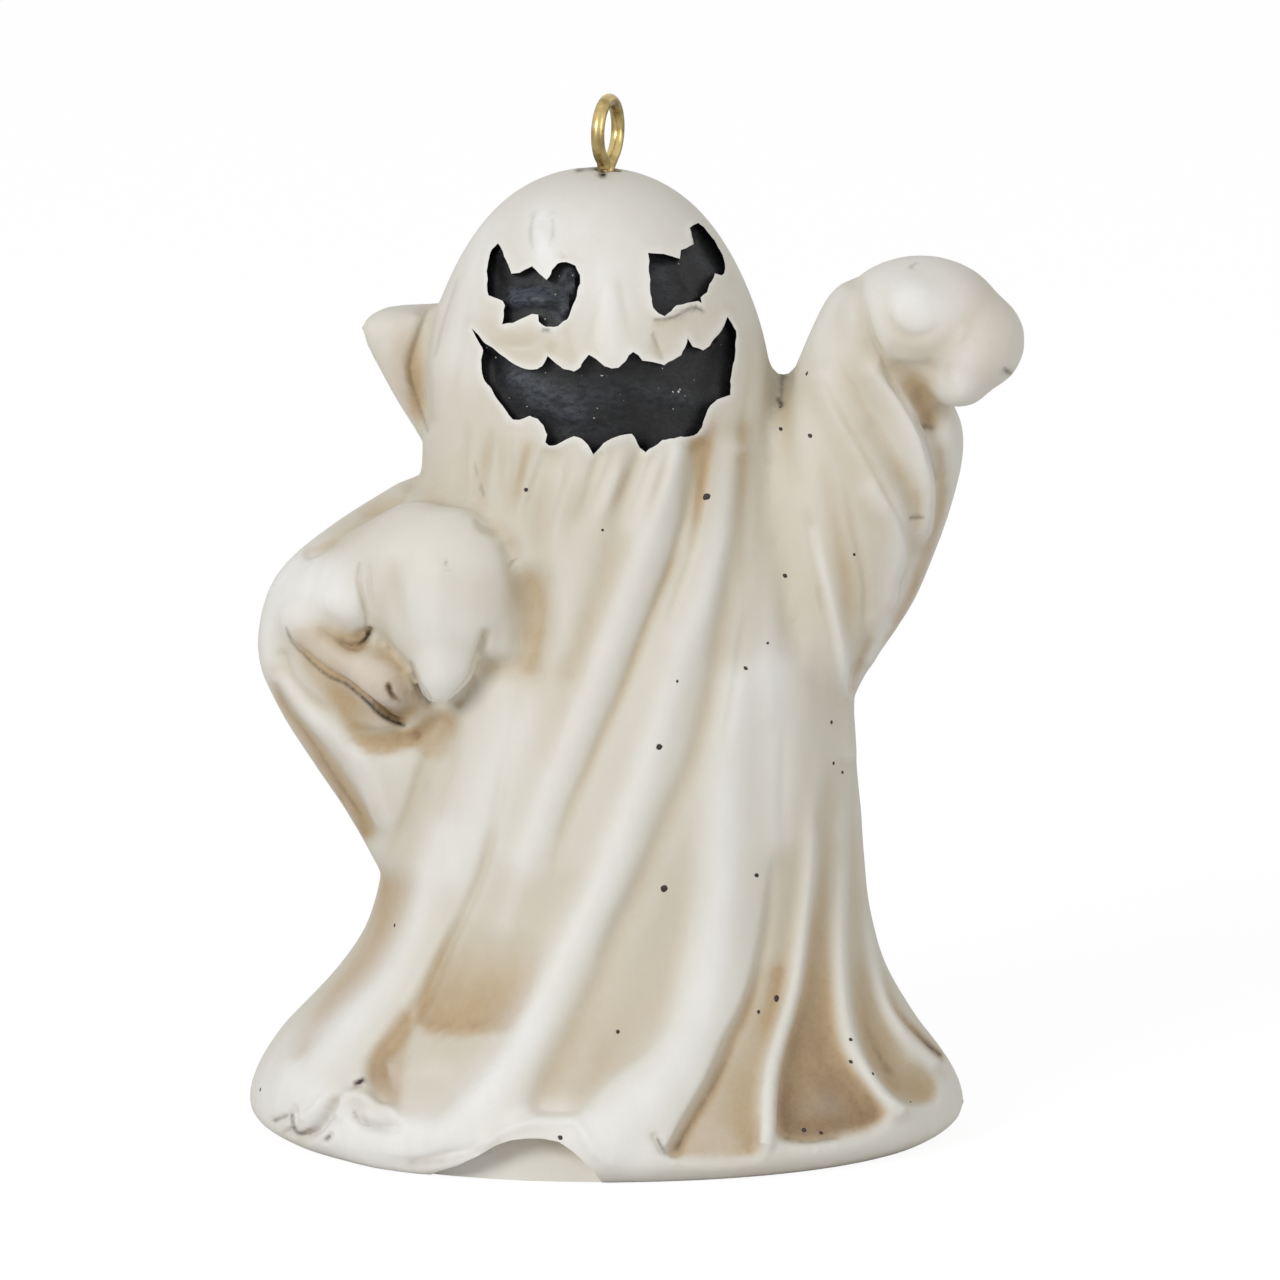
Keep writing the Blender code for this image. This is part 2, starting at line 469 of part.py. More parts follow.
def pocket_share(outline, softness, across, up):
    # 1 inside the outline, 0 outside, with a soft edge between
    rows = smooth_rows(outline + outline[:1], 3)
    nearest = np.full(len(across), np.inf)
    inside = np.zeros(len(across), dtype=bool)
    for start, end in zip(rows, rows[1:]):
        run = end - start
        t = np.clip(((across - start[0]) * run[0] + (up - start[1]) * run[1]) / (run @ run), 0.0, 1.0)
        distance = np.hypot(across - start[0] - t * run[0], up - start[1] - t * run[1])
        nearest = np.minimum(nearest, distance)
        if start[1] != end[1]:
            passed = (start[1] > up) != (end[1] > up)
            inside ^= passed & (across < start[0] + (up - start[1]) / run[1] * run[0])
    t = np.clip(0.5 + 0.5 * np.where(inside, nearest, -nearest) / softness, 0.0, 1.0)
    return t * t * (3.0 - 2.0 * t)


def press_folds(mesh):
    count = len(mesh.vertices)
    points = np.empty(count * 3, dtype=np.float32)
    normals = np.empty(count * 3, dtype=np.float32)
    mesh.vertices.foreach_get("co", points)
    mesh.vertex_normals.foreach_get("vector", normals)
    points = points.reshape(-1, 3).astype(float) / MM
    normals = normals.reshape(-1, 3).astype(float)
    tilt = math.radians(VIEW_ELEVATION)
    up = points[:, 2] * math.cos(tilt) + points[:, 1] * math.sin(tilt)
    facing = normals[:, 2] * math.sin(tilt) - normals[:, 1] * math.cos(tilt)
    front = np.clip((facing + 0.05) / 0.3, 0.0, 1.0)
    back = np.clip((normals[:, 1] + 0.05) / 0.3, 0.0, 1.0)
    shift = np.zeros(count)
    for name, relief, reach, path in FRONT_FOLDS:
        shift += front * fold_relief(path, relief, reach, points[:, 0], up)
    for name, relief, softness, outline in POCKETS:
        ups = [point[1] for point in outline]
        depth = np.interp(up, (min(ups), max(ups)), (relief[1], relief[0]))
        shift += front * depth * pocket_share(outline, softness, points[:, 0], up)
    for relief, reach, path in BACK_FOLDS:
        shift += back * fold_relief(path, relief, reach, points[:, 0], points[:, 2])
    points += normals * shift[:, None]
    mesh.vertices.foreach_set("co", (points * MM).astype(np.float32).ravel())
    mesh.update()


def cut_foot(mesh):
    # A flat foot at height 0
    bm = bmesh.new()
    bm.from_mesh(mesh)
    everything = bm.verts[:] + bm.edges[:] + bm.faces[:]
    bmesh.ops.bisect_plane(bm, geom=everything, plane_co=(0, 0, 0), plane_no=(0, 0, 1), clear_inner=True)
    rim = [edge for edge in bm.edges if edge.is_boundary]
    bmesh.ops.contextual_create(bm, geom=rim)
    bmesh.ops.triangulate(bm, faces=bm.faces[:])
    bm.normal_update()
    bm.to_mesh(mesh)
    bm.free()


# A recess is cut by a plug over its outline, whose end is the floor of the recess

def place_on_sight(side, up, distance, tilt):
    # A point of the drawing plane, moved along the line of sight
    sight = Vector((0.0, math.cos(tilt), -math.sin(tilt)))
    upward = Vector((0.0, math.sin(tilt), math.cos(tilt)))
    return (Vector((side, 0.0, 0.0)) + upward * up + sight * distance) * MM


def recess_cutter(name, outline, tilt, floor_distance):
    reach_back = 40.0
    sides, ups = zip(*outline)
    inside = []
    for side in np.arange(min(sides) + FLOOR_STEP / 2, max(sides), FLOOR_STEP):
        for up in np.arange(min(ups) + FLOOR_STEP / 2, max(ups), FLOOR_STEP):
            inside.append(Vector((side, up)))
    corners = [Vector(point) for point in outline]
    floor = delaunay_2d_cdt(corners + inside, [], [list(range(len(corners)))], 1, 1e-4)
    points, triangles = floor[0], floor[2]
    bm = bmesh.new()
    ends = [bm.verts.new(place_on_sight(p.x, p.y, floor_distance(p.x, p.y), tilt)) for p in points]
    for triangle in triangles:
        bm.faces.new([ends[index] for index in triangle])
    rim = [edge for edge in bm.edges if edge.is_boundary]
    sight = place_on_sight(0.0, 0.0, 1.0, tilt).normalized()
    for item in bmesh.ops.extrude_edge_only(bm, edges=rim)["geom"]:
        if isinstance(item, bmesh.types.BMVert):
            item.co -= sight * (item.co.dot(sight) + reach_back * MM)
    mouth = [edge for edge in bm.edges if edge.is_boundary]
    bmesh.ops.contextual_create(bm, geom=mouth)
    bmesh.ops.triangulate(bm, faces=bm.faces[:])
    bmesh.ops.recalc_face_normals(bm, faces=bm.faces[:])
    loose = [vertex for vertex in bm.verts if not vertex.link_faces]
    bmesh.ops.delete(bm, geom=loose, context="VERTS")
    mesh = bpy.data.meshes.new(name)
    bm.to_mesh(mesh)
    bm.free()
    return as_cutter(add_object(name, mesh))


def face_cutters(mesh):
    # Eyes and mouth, all at one depth under the skin
    bm = bmesh.new()
    bm.from_mesh(mesh)
    skin = BVHTree.FromBMesh(bm)
    bm.free()
    tilt = math.radians(VIEW_ELEVATION)
    sight = place_on_sight(0.0, 0.0, 1.0, tilt).normalized()
    start = -40.0

    def under_skin(side, up):
        hit = skin.ray_cast(place_on_sight(side, up, start, tilt), sight)
        return start + hit[3] / MM + FACE_DEPTH

    cutters = []
    for name, outline in (("left_eye", LEFT_EYE), ("right_eye", RIGHT_EYE), ("mouth", MOUTH)):
        drawn = [(side, up + HEAD_HEIGHT - FACE_DROP) for side, up in outline]
        cutters.append(recess_cutter("cutter_" + name, drawn, tilt, under_skin))
    return cutters


def hem_cutter():
    # The hollow under the lifted hem ends on the foot's own oval
    def oval(side, up):
        half_width = HEM_WIDTH / 2 - HEM_ARCH_DEPTH
        half_depth = HEM_DEPTH / 2 - HEM_ARCH_DEPTH
        return -half_depth * math.sqrt(1.0 - (side / half_width) ** 2)

    return recess_cutter("cutter_hem", HEM_ARCH, 0.0, oval)


def as_cutter(item):
    item.hide_render = True
    item.display_type = "WIRE"
    return item


def hole_cutter():
    top = CROWN_HEIGHT + 3.0
    bottom = CROWN_HEIGHT - SHANK_LENGTH - HOLE_CLEARANCE
    bm = bmesh.new()
    place = Matrix.Translation(Vector((*SHANK_PLACE, (top + bottom) / 2)) * MM)
    radius = (EYE_WIRE / 2 + HOLE_CLEARANCE) * MM
    bmesh.ops.create_cone(bm, cap_ends=True, segments=16, radius1=radius, radius2=radius,
                          depth=(top - bottom) * MM, matrix=place)
    mesh = bpy.data.meshes.new("cutter_hole")
    bm.to_mesh(mesh)
    bm.free()
    return as_cutter(add_object("cutter_hole", mesh))


def ghost_body():
    resin = paint("ivory resin", (0.76, 0.72, 0.63), 0.6)
    black = paint("black paint", (0.02, 0.02, 0.022), 0.4)
    body = add_object("ghost_body", rough_casting())
    remesh = body.modifiers.new("one skin", "REMESH")
    remesh.mode = "VOXEL"
    remesh.voxel_size = VOXEL * MM
    smooth = body.modifiers.new("soft joins", "SMOOTH")
    smooth.factor = 0.5
    smooth.iterations = SMOOTH_STEPS
    press_folds(evaluated_mesh(body))
    thin = body.modifiers.new("fewer faces", "DECIMATE")
    thin.ratio = min(1.0, BODY_TRIANGLES / (2 * len(body.data.polygons)))
    thin.use_collapse_triangulate = True
    cut_foot(evaluated_mesh(body))

    face = face_cutters(body.data)
    plain = [hem_cutter(), hole_cutter()]
    for cutter in face:
        cutter.data.materials.append(black)
    for cutter in plain:
        cutter.data.materials.append(resin)
    body.data.materials.clear()
    body.data.materials.append(resin)
    body.data.materials.append(black)
    for cutter in face + plain:
        cut = body.modifiers.new(cutter.name, "BOOLEAN")
        cut.operation = "DIFFERENCE"
        cut.solver = "EXACT"
        cut.material_mode = "TRANSFER"
        cut.object = cutter
    body.data.shade_smooth()
    return body


def screw_eye():
    # One wire: up the shank, out to one side and round the ring until it nearly meets the shank
    radius = (EYE_DIAMETER - EYE_WIRE) / 2
    middle = CROWN_HEIGHT + EYE_DIAMETER / 2
    start_angle = math.radians(EYE_GAP_ANGLE)
    arc_steps = 26
    shank_steps = 4
    route = []
    for step in range(shank_steps + 1):
        route.append((0.0, CROWN_HEIGHT - SHANK_LENGTH * (1 - step / shank_steps)))
    for step in range(arc_steps + 1):
        angle = start_angle + (2 * math.pi - 2 * start_angle) * step / arc_steps
        route.append((radius * math.sin(angle), middle - radius * math.cos(angle)))
    turn = math.radians(EYE_TURN)
    curve = bpy.data.curves.new("screw_eye", "CURVE")
    curve.dimensions = "3D"
    curve.bevel_depth = EYE_WIRE / 2 * MM
    curve.bevel_resolution = 3
    curve.use_fill_caps = True
    spline = curve.splines.new("POLY")
    spline.points.add(len(route) - 1)
    for point, (out, height) in zip(spline.points, route):
        place = (SHANK_PLACE[0] + out * math.sin(turn), SHANK_PLACE[1] + out * math.cos(turn), height)
        point.co = (*[value * MM for value in place], 1.0)
    curve.materials.append(paint("brass", (0.55, 0.40, 0.16), 0.32, 1.0))
    return add_object("screw_eye", curve)


clear_scene()
ghost_body()
screw_eye()
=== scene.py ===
# Ghost ornament: the finish of the cast figure and of its brass eye, on a pale floor.
# Lengths in the tables are millimetres, and mm turns them into metres.
import math
import bmesh
import bpy
import numpy as np
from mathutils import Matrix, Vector
from mathutils.bvhtree import BVHTree
from mathutils.geometry import delaunay_2d_cdt


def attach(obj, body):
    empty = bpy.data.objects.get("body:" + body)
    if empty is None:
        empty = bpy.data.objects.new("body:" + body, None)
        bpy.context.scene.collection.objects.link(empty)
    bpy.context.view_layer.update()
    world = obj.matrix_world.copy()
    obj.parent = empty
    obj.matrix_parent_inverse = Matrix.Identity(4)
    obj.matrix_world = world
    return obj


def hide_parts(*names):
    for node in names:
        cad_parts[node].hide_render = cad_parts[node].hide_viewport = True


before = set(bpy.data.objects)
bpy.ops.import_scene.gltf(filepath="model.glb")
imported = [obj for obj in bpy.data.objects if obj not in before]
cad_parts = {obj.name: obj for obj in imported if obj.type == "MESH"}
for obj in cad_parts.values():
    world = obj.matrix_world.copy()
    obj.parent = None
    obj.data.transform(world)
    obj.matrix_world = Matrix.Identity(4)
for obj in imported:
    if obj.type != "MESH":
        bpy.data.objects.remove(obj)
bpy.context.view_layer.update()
mm = 0.001


# Camera, light and floor

# Photograph's view: the drawing plane is the one that its camera sees, through the foot's middle
camera = {
    "elevation": 11.0,          # degrees
    "distance": 1600.0,
    "frameWidth": 95.5,         # width of the view at the figure
    "aim": (2.39, 0.0, 37.1),
    "sensor": 36.0,
    "nearest": 100.0, "farthest": 20000.0,
}
studio = {
    # place, width and watts
    "lamps": {
        "key": ((-600.0, -780.0, 500.0), 420.0, 5.0),
        "fill": ((750.0, -500.0, 250.0), 600.0, 1.3),
    },
    "lampAim": (0.0, 0.0, 35.0),
    "worldLight": 0.47,         # on the object, while the camera and mirrors see it at 1
}
paleFloor = {
    "halfWidth": 8000.0,
    "drop": 0.05,               # how far it lies under the foot
    "grey": 0.86,
    "glow": 1.09, "glowShare": 0.84,        # white that only the camera sees, and how much of it
}

tilt = math.radians(camera["elevation"])
sight = Vector((0.0, math.cos(tilt), -math.sin(tilt)))
upward = Vector((0.0, math.sin(tilt), math.cos(tilt)))


def addObject(name, data):
    item = bpy.data.objects.new(name, data)
    bpy.context.scene.collection.objects.link(item)
    return item


def setInputs(tree, node, inputs):
    # Each named or numbered input takes a value or another node's output
    for name, value in inputs.items():
        if isinstance(value, bpy.types.NodeSocket):
            tree.links.new(value, node.inputs[name])
        else:
            node.inputs[name].default_value = value


def addNode(tree, kind, inputs, **settings):
    node = tree.nodes.new(kind)
    for name, value in settings.items():
        setattr(node, name, value)
    setInputs(tree, node, inputs)
    return node


def placeCamera():
    data = bpy.data.cameras.new("camera")
    data.sensor_width = camera["sensor"]
    data.lens = data.sensor_width * camera["distance"] / camera["frameWidth"]
    data.clip_start = camera["nearest"] * mm
    data.clip_end = camera["farthest"] * mm
    item = addObject("camera", data)
    item.location = Vector(camera["aim"]) * mm - sight * camera["distance"] * mm
    item.rotation_euler = (math.pi / 2 - tilt, 0.0, 0.0)
    bpy.context.scene.camera = item


def lightScene():
    for name, (place, width, watts) in studio["lamps"].items():
        data = bpy.data.lights.new(name, "AREA")
        data.shape = "DISK"
        data.size = width * mm
        data.energy = watts
        item = addObject(name, data)
        item.location = Vector(place) * mm
        item.rotation_euler = (Vector(studio["lampAim"]) - Vector(place)).to_track_quat("-Z", "Y").to_euler()
    world = bpy.data.worlds.new("studio")
    world.use_nodes = True
    tree = world.node_tree
    ray = tree.nodes.new("ShaderNodeLightPath").outputs
    mirrors = addNode(tree, "ShaderNodeMath", {
        0: ray["Is Glossy Ray"], 1: ray["Is Transmission Ray"]}, operation="ADD")
    seen = addNode(tree, "ShaderNodeMath", {
        0: ray["Is Camera Ray"], 1: mirrors.outputs[0]}, operation="ADD", use_clamp=True)
    strength = addNode(tree, "ShaderNodeMapRange", {
        "Value": seen.outputs[0], "To Min": studio["worldLight"], "To Max": 1.0})
    setInputs(tree, tree.nodes["Background"], {
        "Color": (1.0, 1.0, 1.0, 1.0), "Strength": strength.outputs["Result"]})
    bpy.context.scene.world = world
    bpy.context.scene.view_settings.view_transform = "Standard"


def makeFloor():
    half = paleFloor["halfWidth"] * mm
    corners = [(-half, -half, 0.0), (half, -half, 0.0), (half, half, 0.0), (-half, half, 0.0)]
    mesh = bpy.data.meshes.new("floor")
    mesh.from_pydata(corners, [], [(0, 1, 2, 3)])
    item = addObject("floor", mesh)
    material = bpy.data.materials.new("pale floor")
    material.use_nodes = True
    tree = material.node_tree
    tree.nodes.remove(tree.nodes["Principled BSDF"])
    grey = paleFloor["grey"]
    matte = addNode(tree, "ShaderNodeBsdfDiffuse", {"Color": (grey, grey, grey, 1.0)})
    glow = addNode(tree, "ShaderNodeEmission", {"Color": (1.0, 1.0, 1.0, 1.0), "Strength": paleFloor["glow"]})
    ray = tree.nodes.new("ShaderNodeLightPath").outputs["Is Camera Ray"]
    share = addNode(tree, "ShaderNodeMath", {0: ray, 1: paleFloor["glowShare"]}, operation="MULTIPLY")
    mix = addNode(tree, "ShaderNodeMixShader", {0: share.outputs[0], 1: matte.outputs[0], 2: glow.outputs[0]})
    setInputs(tree, tree.nodes["Material Output"], {"Surface": mix.outputs[0]})
    mesh.materials.append(material)
    item.location.z = -paleFloor["drop"] * mm


# Closed forms of the casting

# The sheet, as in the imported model
sheet = {
    "hemWidth": 53.7, "hemDepth": 43.4, "hemHeight": 1.5, "hemRoll": 1.9, "rollHeight": 2.1,
    "flareReach": 9.7,
    "waist": (24.0, 35.6, 27.0),        # height, width, depth
    "chest": (36.0, 33.6, 25.2),
    "shoulders": (48.0, 28.2, 24.0),
    "head": (58.0, 25.8, 23.2),
    "crownRise": 14.8, "crownTaper": 0.08,
    "lean": ((0.0, 0.0), (7.5, -0.4), (15.0, 0.85), (20.0, 1.15), (36.0, 0.9), (48.0, 0.1), (58.0, -0.85)),
}
# Rings of the arms: rise above the shoulders, middle to the side and back, half width, half depth
armRings = {
    "raised sleeve": (
        (-18.0, 11.2, 1.0, 6.0, 7.0),
        (-14.5, 12.5, 0.8, 6.3, 7.2),
        (-12.0, 13.5, 0.5, 6.6, 7.4),
        (-9.0, 14.6, 0.2, 7.6, 7.5),
        (-6.0, 15.5, 0.0, 8.2, 7.6),
        (0.0, 17.3, -0.5, 8.5, 7.4),
        (5.0, 18.6, -1.0, 7.9, 6.6),
        (9.0, 19.2, -1.5, 5.8, 5.6),
        (13.0, 20.0, -2.0, 4.9, 4.9),
        (16.0, 20.7, -2.4, 4.0, 3.6),
        (17.2, 21.4, -2.6, 2.4, 2.2),
    ),
    "elbow sleeve": (
        (-30.0, -10.7, -0.5, 5.4, 6.0),
        (-24.0, -12.7, -0.7, 6.7, 6.6),
        (-20.0, -14.2, -0.9, 7.8, 7.0),
        (-16.0, -15.3, -1.0, 9.2, 7.2),
        (-12.0, -16.0, -1.0, 10.1, 7.3),
        (-8.0, -15.7, -1.0, 10.0, 7.2),
        (-5.0, -15.0, -1.0, 9.1, 6.9),
        (-2.0, -13.2, -0.8, 7.2, 6.4),
        (1.0, -10.4, -0.5, 5.2, 5.6),
    ),
    "hood point": (
        (2.0, -11.0, 2.5, 1.7, 2.2),
        (6.0, -11.0, 2.5, 4.3, 2.8),
        (9.0, -11.0, 2.6, 6.0, 3.0),
        (12.0, -11.0, 2.8, 7.4, 3.0),
        (13.0, -11.6, 2.9, 6.5, 2.8),
        (13.8, -13.0, 3.0, 3.6, 2.2),
    ),
    "long finger": (
        (-13.7, -12.7, -11.0, 0.5, 0.5),
        (-12.9, -12.5, -11.0, 1.4, 1.2),
        (-11.6, -12.1, -11.0, 2.2, 1.9),
        (-10.0, -12.0, -10.8, 2.8, 2.3),
        (-7.0, -12.1, -10.5, 3.4, 2.7),
        (-4.0, -12.0, -9.8, 3.8, 3.0),
    ),
    "short finger": (
        (-10.6, -8.2, -10.0, 0.6, 0.7),
        (-9.8, -8.1, -10.0, 1.4, 1.4),
        (-8.0, -8.0, -9.9, 1.8, 1.9),
        (-5.0, -8.4, -9.4, 2.4, 2.4),
    ),
}
# Lumps: middle (side, back, rise above the shoulders) and half sizes
handLumps = {
    "raised palm": ((23.2, -4.0, 14.0), (6.3, 5.0, 4.9)),
    "raised outer side": ((27.0, -4.5, 12.6), (4.0, 4.2, 3.9)),
    "raised fingertips": ((26.0, -5.3, 10.5), (2.8, 3.0, 2.8)),
    "raised thumb": ((22.7, -6.6, 15.2), (3.0, 2.6, 2.9)),
    "bent hand": ((-11.8, -9.3, -5.4), (5.3, 4.5, 6.4)),
}
# Rolls of the bent sleeve: start, end and radius
sleeveRolls = {
    "forearm": ((-20.5, -2.5, -8.5), (-14.0, -8.0, -3.5), 4.6),
    "sleeve mouth": ((-22.0, -5.0, -8.3), (-16.7, -8.3, -12.6), 2.5),
    "sleeve lower edge": ((-23.0, -3.5, -12.6), (-16.7, -7.3, -14.9), 1.9),
    "neck": ((12.7, -0.5, 6.2), (12.9, -0.5, 8.4), 1.1),
}
# How finely the closed forms are drawn
detail = {
    "sheetSides": 96, "armSides": 64, "lumpSides": 36,
    "ringStep": 0.5, "belowFoot": 2.0,
    "stationSteps": 8, "domeSteps": 32, "armSteps": 6, "lumpSteps": 22,
    "rollStep": 0.25,           # between the lumps of a roll, as a share of its radius
}

shoulderHeight = sheet["shoulders"][0]
headHeight = sheet["head"][0]
crownHeight = headHeight + sheet["crownRise"]


def smoothRows(rows, steps):
    # Catmull-Rom through the rows, with this many steps between two of them
    rows = np.array(rows, dtype=float)
    padded = np.vstack((2 * rows[0] - rows[1], rows, 2 * rows[-1] - rows[-2]))
    result = []
    for index in range(len(rows) - 1):
        a, b, c, d = padded[index:index + 4]
        for t in np.arange(steps) / steps:
            result.append(0.5 * (2 * b + (c - a) * t + (2 * a - 5 * b + 4 * c - d) * t ** 2
                                 + (3 * b - a - 3 * c + d) * t ** 3))
    result.append(rows[-1])
    return np.array(result)


def meshFrom(bm, name):
    mesh = bpy.data.meshes.new(name)
    bm.to_mesh(mesh)
    bm.free()
    return mesh


def joinLoops(bm, loops):
    # Faces between the loops, and one over each end
    count = len(loops[0])
    for lower, upper in zip(loops, loops[1:]):
        for step in range(count):
            after = (step + 1) % count
            bm.faces.new((lower[step], lower[after], upper[after], upper[step]))
    bm.faces.new(reversed(loops[0]))
    bm.faces.new(loops[-1])


def addLoft(bm, rings, sides):
    # Horizontal ovals (height, side, back, half width, half depth), closed at both ends
    loops = []
    for height, side, back, halfWidth, halfDepth in rings:
        loop = []
        for step in range(sides):
            angle = 2 * math.pi * step / sides
            point = (side + halfWidth * math.cos(angle), back + halfDepth * math.sin(angle), height)
            loop.append(bm.verts.new(Vector(point) * mm))
        loops.append(loop)
    joinLoops(bm, loops)


def addLump(bm, middle, halfSizes):
    rings = []
    for step in range(1, detail["lumpSteps"]):
        angle = math.pi * (step / detail["lumpSteps"] - 0.5)
        rings.append((middle[2] + halfSizes[2] * math.sin(angle), middle[0], middle[1],
                      halfSizes[0] * math.cos(angle), halfSizes[1] * math.cos(angle)))
    addLoft(bm, rings, detail["lumpSides"])


def addRoll(bm, start, end, radius):
    start = Vector(start)
    end = Vector(end)
    count = math.ceil((end - start).length / (detail["rollStep"] * radius)) + 1
    for step in range(count):
        addLump(bm, start.lerp(end, step / (count - 1)), (radius, radius, radius))


def sheetRings():
    stations = (sheet["waist"], sheet["chest"], sheet["shoulders"], sheet["head"])
    heights, widths, depths = smoothRows(stations, detail["stationSteps"]).T
    waistWidth, waistDepth = sheet["waist"][1:]
    leanHeights, leans = zip(*sheet["lean"])
    rings = []
    for height in np.arange(-detail["belowFoot"], headHeight, detail["ringStep"]):
        width = np.interp(height, heights, widths)
        depth = np.interp(height, heights, depths)
        flare = math.exp(-((height - sheet["hemHeight"]) / sheet["flareReach"]) ** 2)
        rolled = sheet["hemRoll"] * max(0.0, 1.0 - height / sheet["rollHeight"]) ** 2
        width += (sheet["hemWidth"] - waistWidth) * flare
        depth += (sheet["hemDepth"] - waistDepth) * flare
        lean = np.interp(height, leanHeights, leans)
        rings.append((height, lean, 0.0, width / 2 - rolled, depth / 2 - rolled))
    for step in range(detail["domeSteps"]):
        angle = 0.5 * math.pi * step / detail["domeSteps"]
        share = math.cos(angle) * (1.0 - sheet["crownTaper"] * math.cos(angle) * math.sin(2 * angle))
        rings.append((headHeight + sheet["crownRise"] * math.sin(angle), leans[-1], 0.0,
                      sheet["head"][1] / 2 * share, sheet["head"][2] / 2 * share))
    return rings


def overShoulders(point):
    # A place measured above the shoulders, as one above the floor
    return (point[0], point[1], point[2] + shoulderHeight)


def roughCasting():
    bm = bmesh.new()
    addLoft(bm, sheetRings(), detail["sheetSides"])
    for rings in armRings.values():
        rows = smoothRows(rings, detail["armSteps"])
        addLoft(bm, [(row[0] + shoulderHeight, *row[1:]) for row in rows], detail["armSides"])
    for middle, halfSizes in handLumps.values():
        addLump(bm, overShoulders(middle), halfSizes)
    for start, end, radius in sleeveRolls.values():
        addRoll(bm, overShoulders(start), overShoulders(end), radius)
    return meshFrom(bm, "ghost_body")


def finishedMesh(item):
    # The mesh as its modifiers leave it, with the modifiers taken off
    mesh = bpy.data.meshes.new_from_object(item.evaluated_get(bpy.context.evaluated_depsgraph_get()))
    item.modifiers.clear()
    item.data = mesh
    return mesh


# Folds

skin = {
    "voxel": 0.46,
    "smoothFactor": 0.5,
    "smoothSteps": 9,           # on the joins of the forms
    "evenSteps": 3,             # on the pressed folds
    "faces": 168000,
    "sharpAngle": 55.0,
    "turnAway": (0.05, 0.3),    # how far past edge-on a fold still shows, and how fast it comes in
    "fineReach": 0.62,          # folds narrower than this are pressed after the skin is refined
    # strips of finer faces along them: their share of a fold's reach, and an extra width
    "firstStrip": (1.6, 0.5), "secondStrip": (1.2, 0.15),
    "stripEdge": 0.37, "stripFacing": 0.02,
    "pathSteps": 3,
    "farReach": 2.6,            # a fold ends where it is this many reaches away
    "fade": 2.6,                # length over which a stroke's faint end fades out
    "longestFade": 0.35,        # as a share of the stroke
    "faintEnd": 0.3,            # an end with more relief or strength than this stays
}

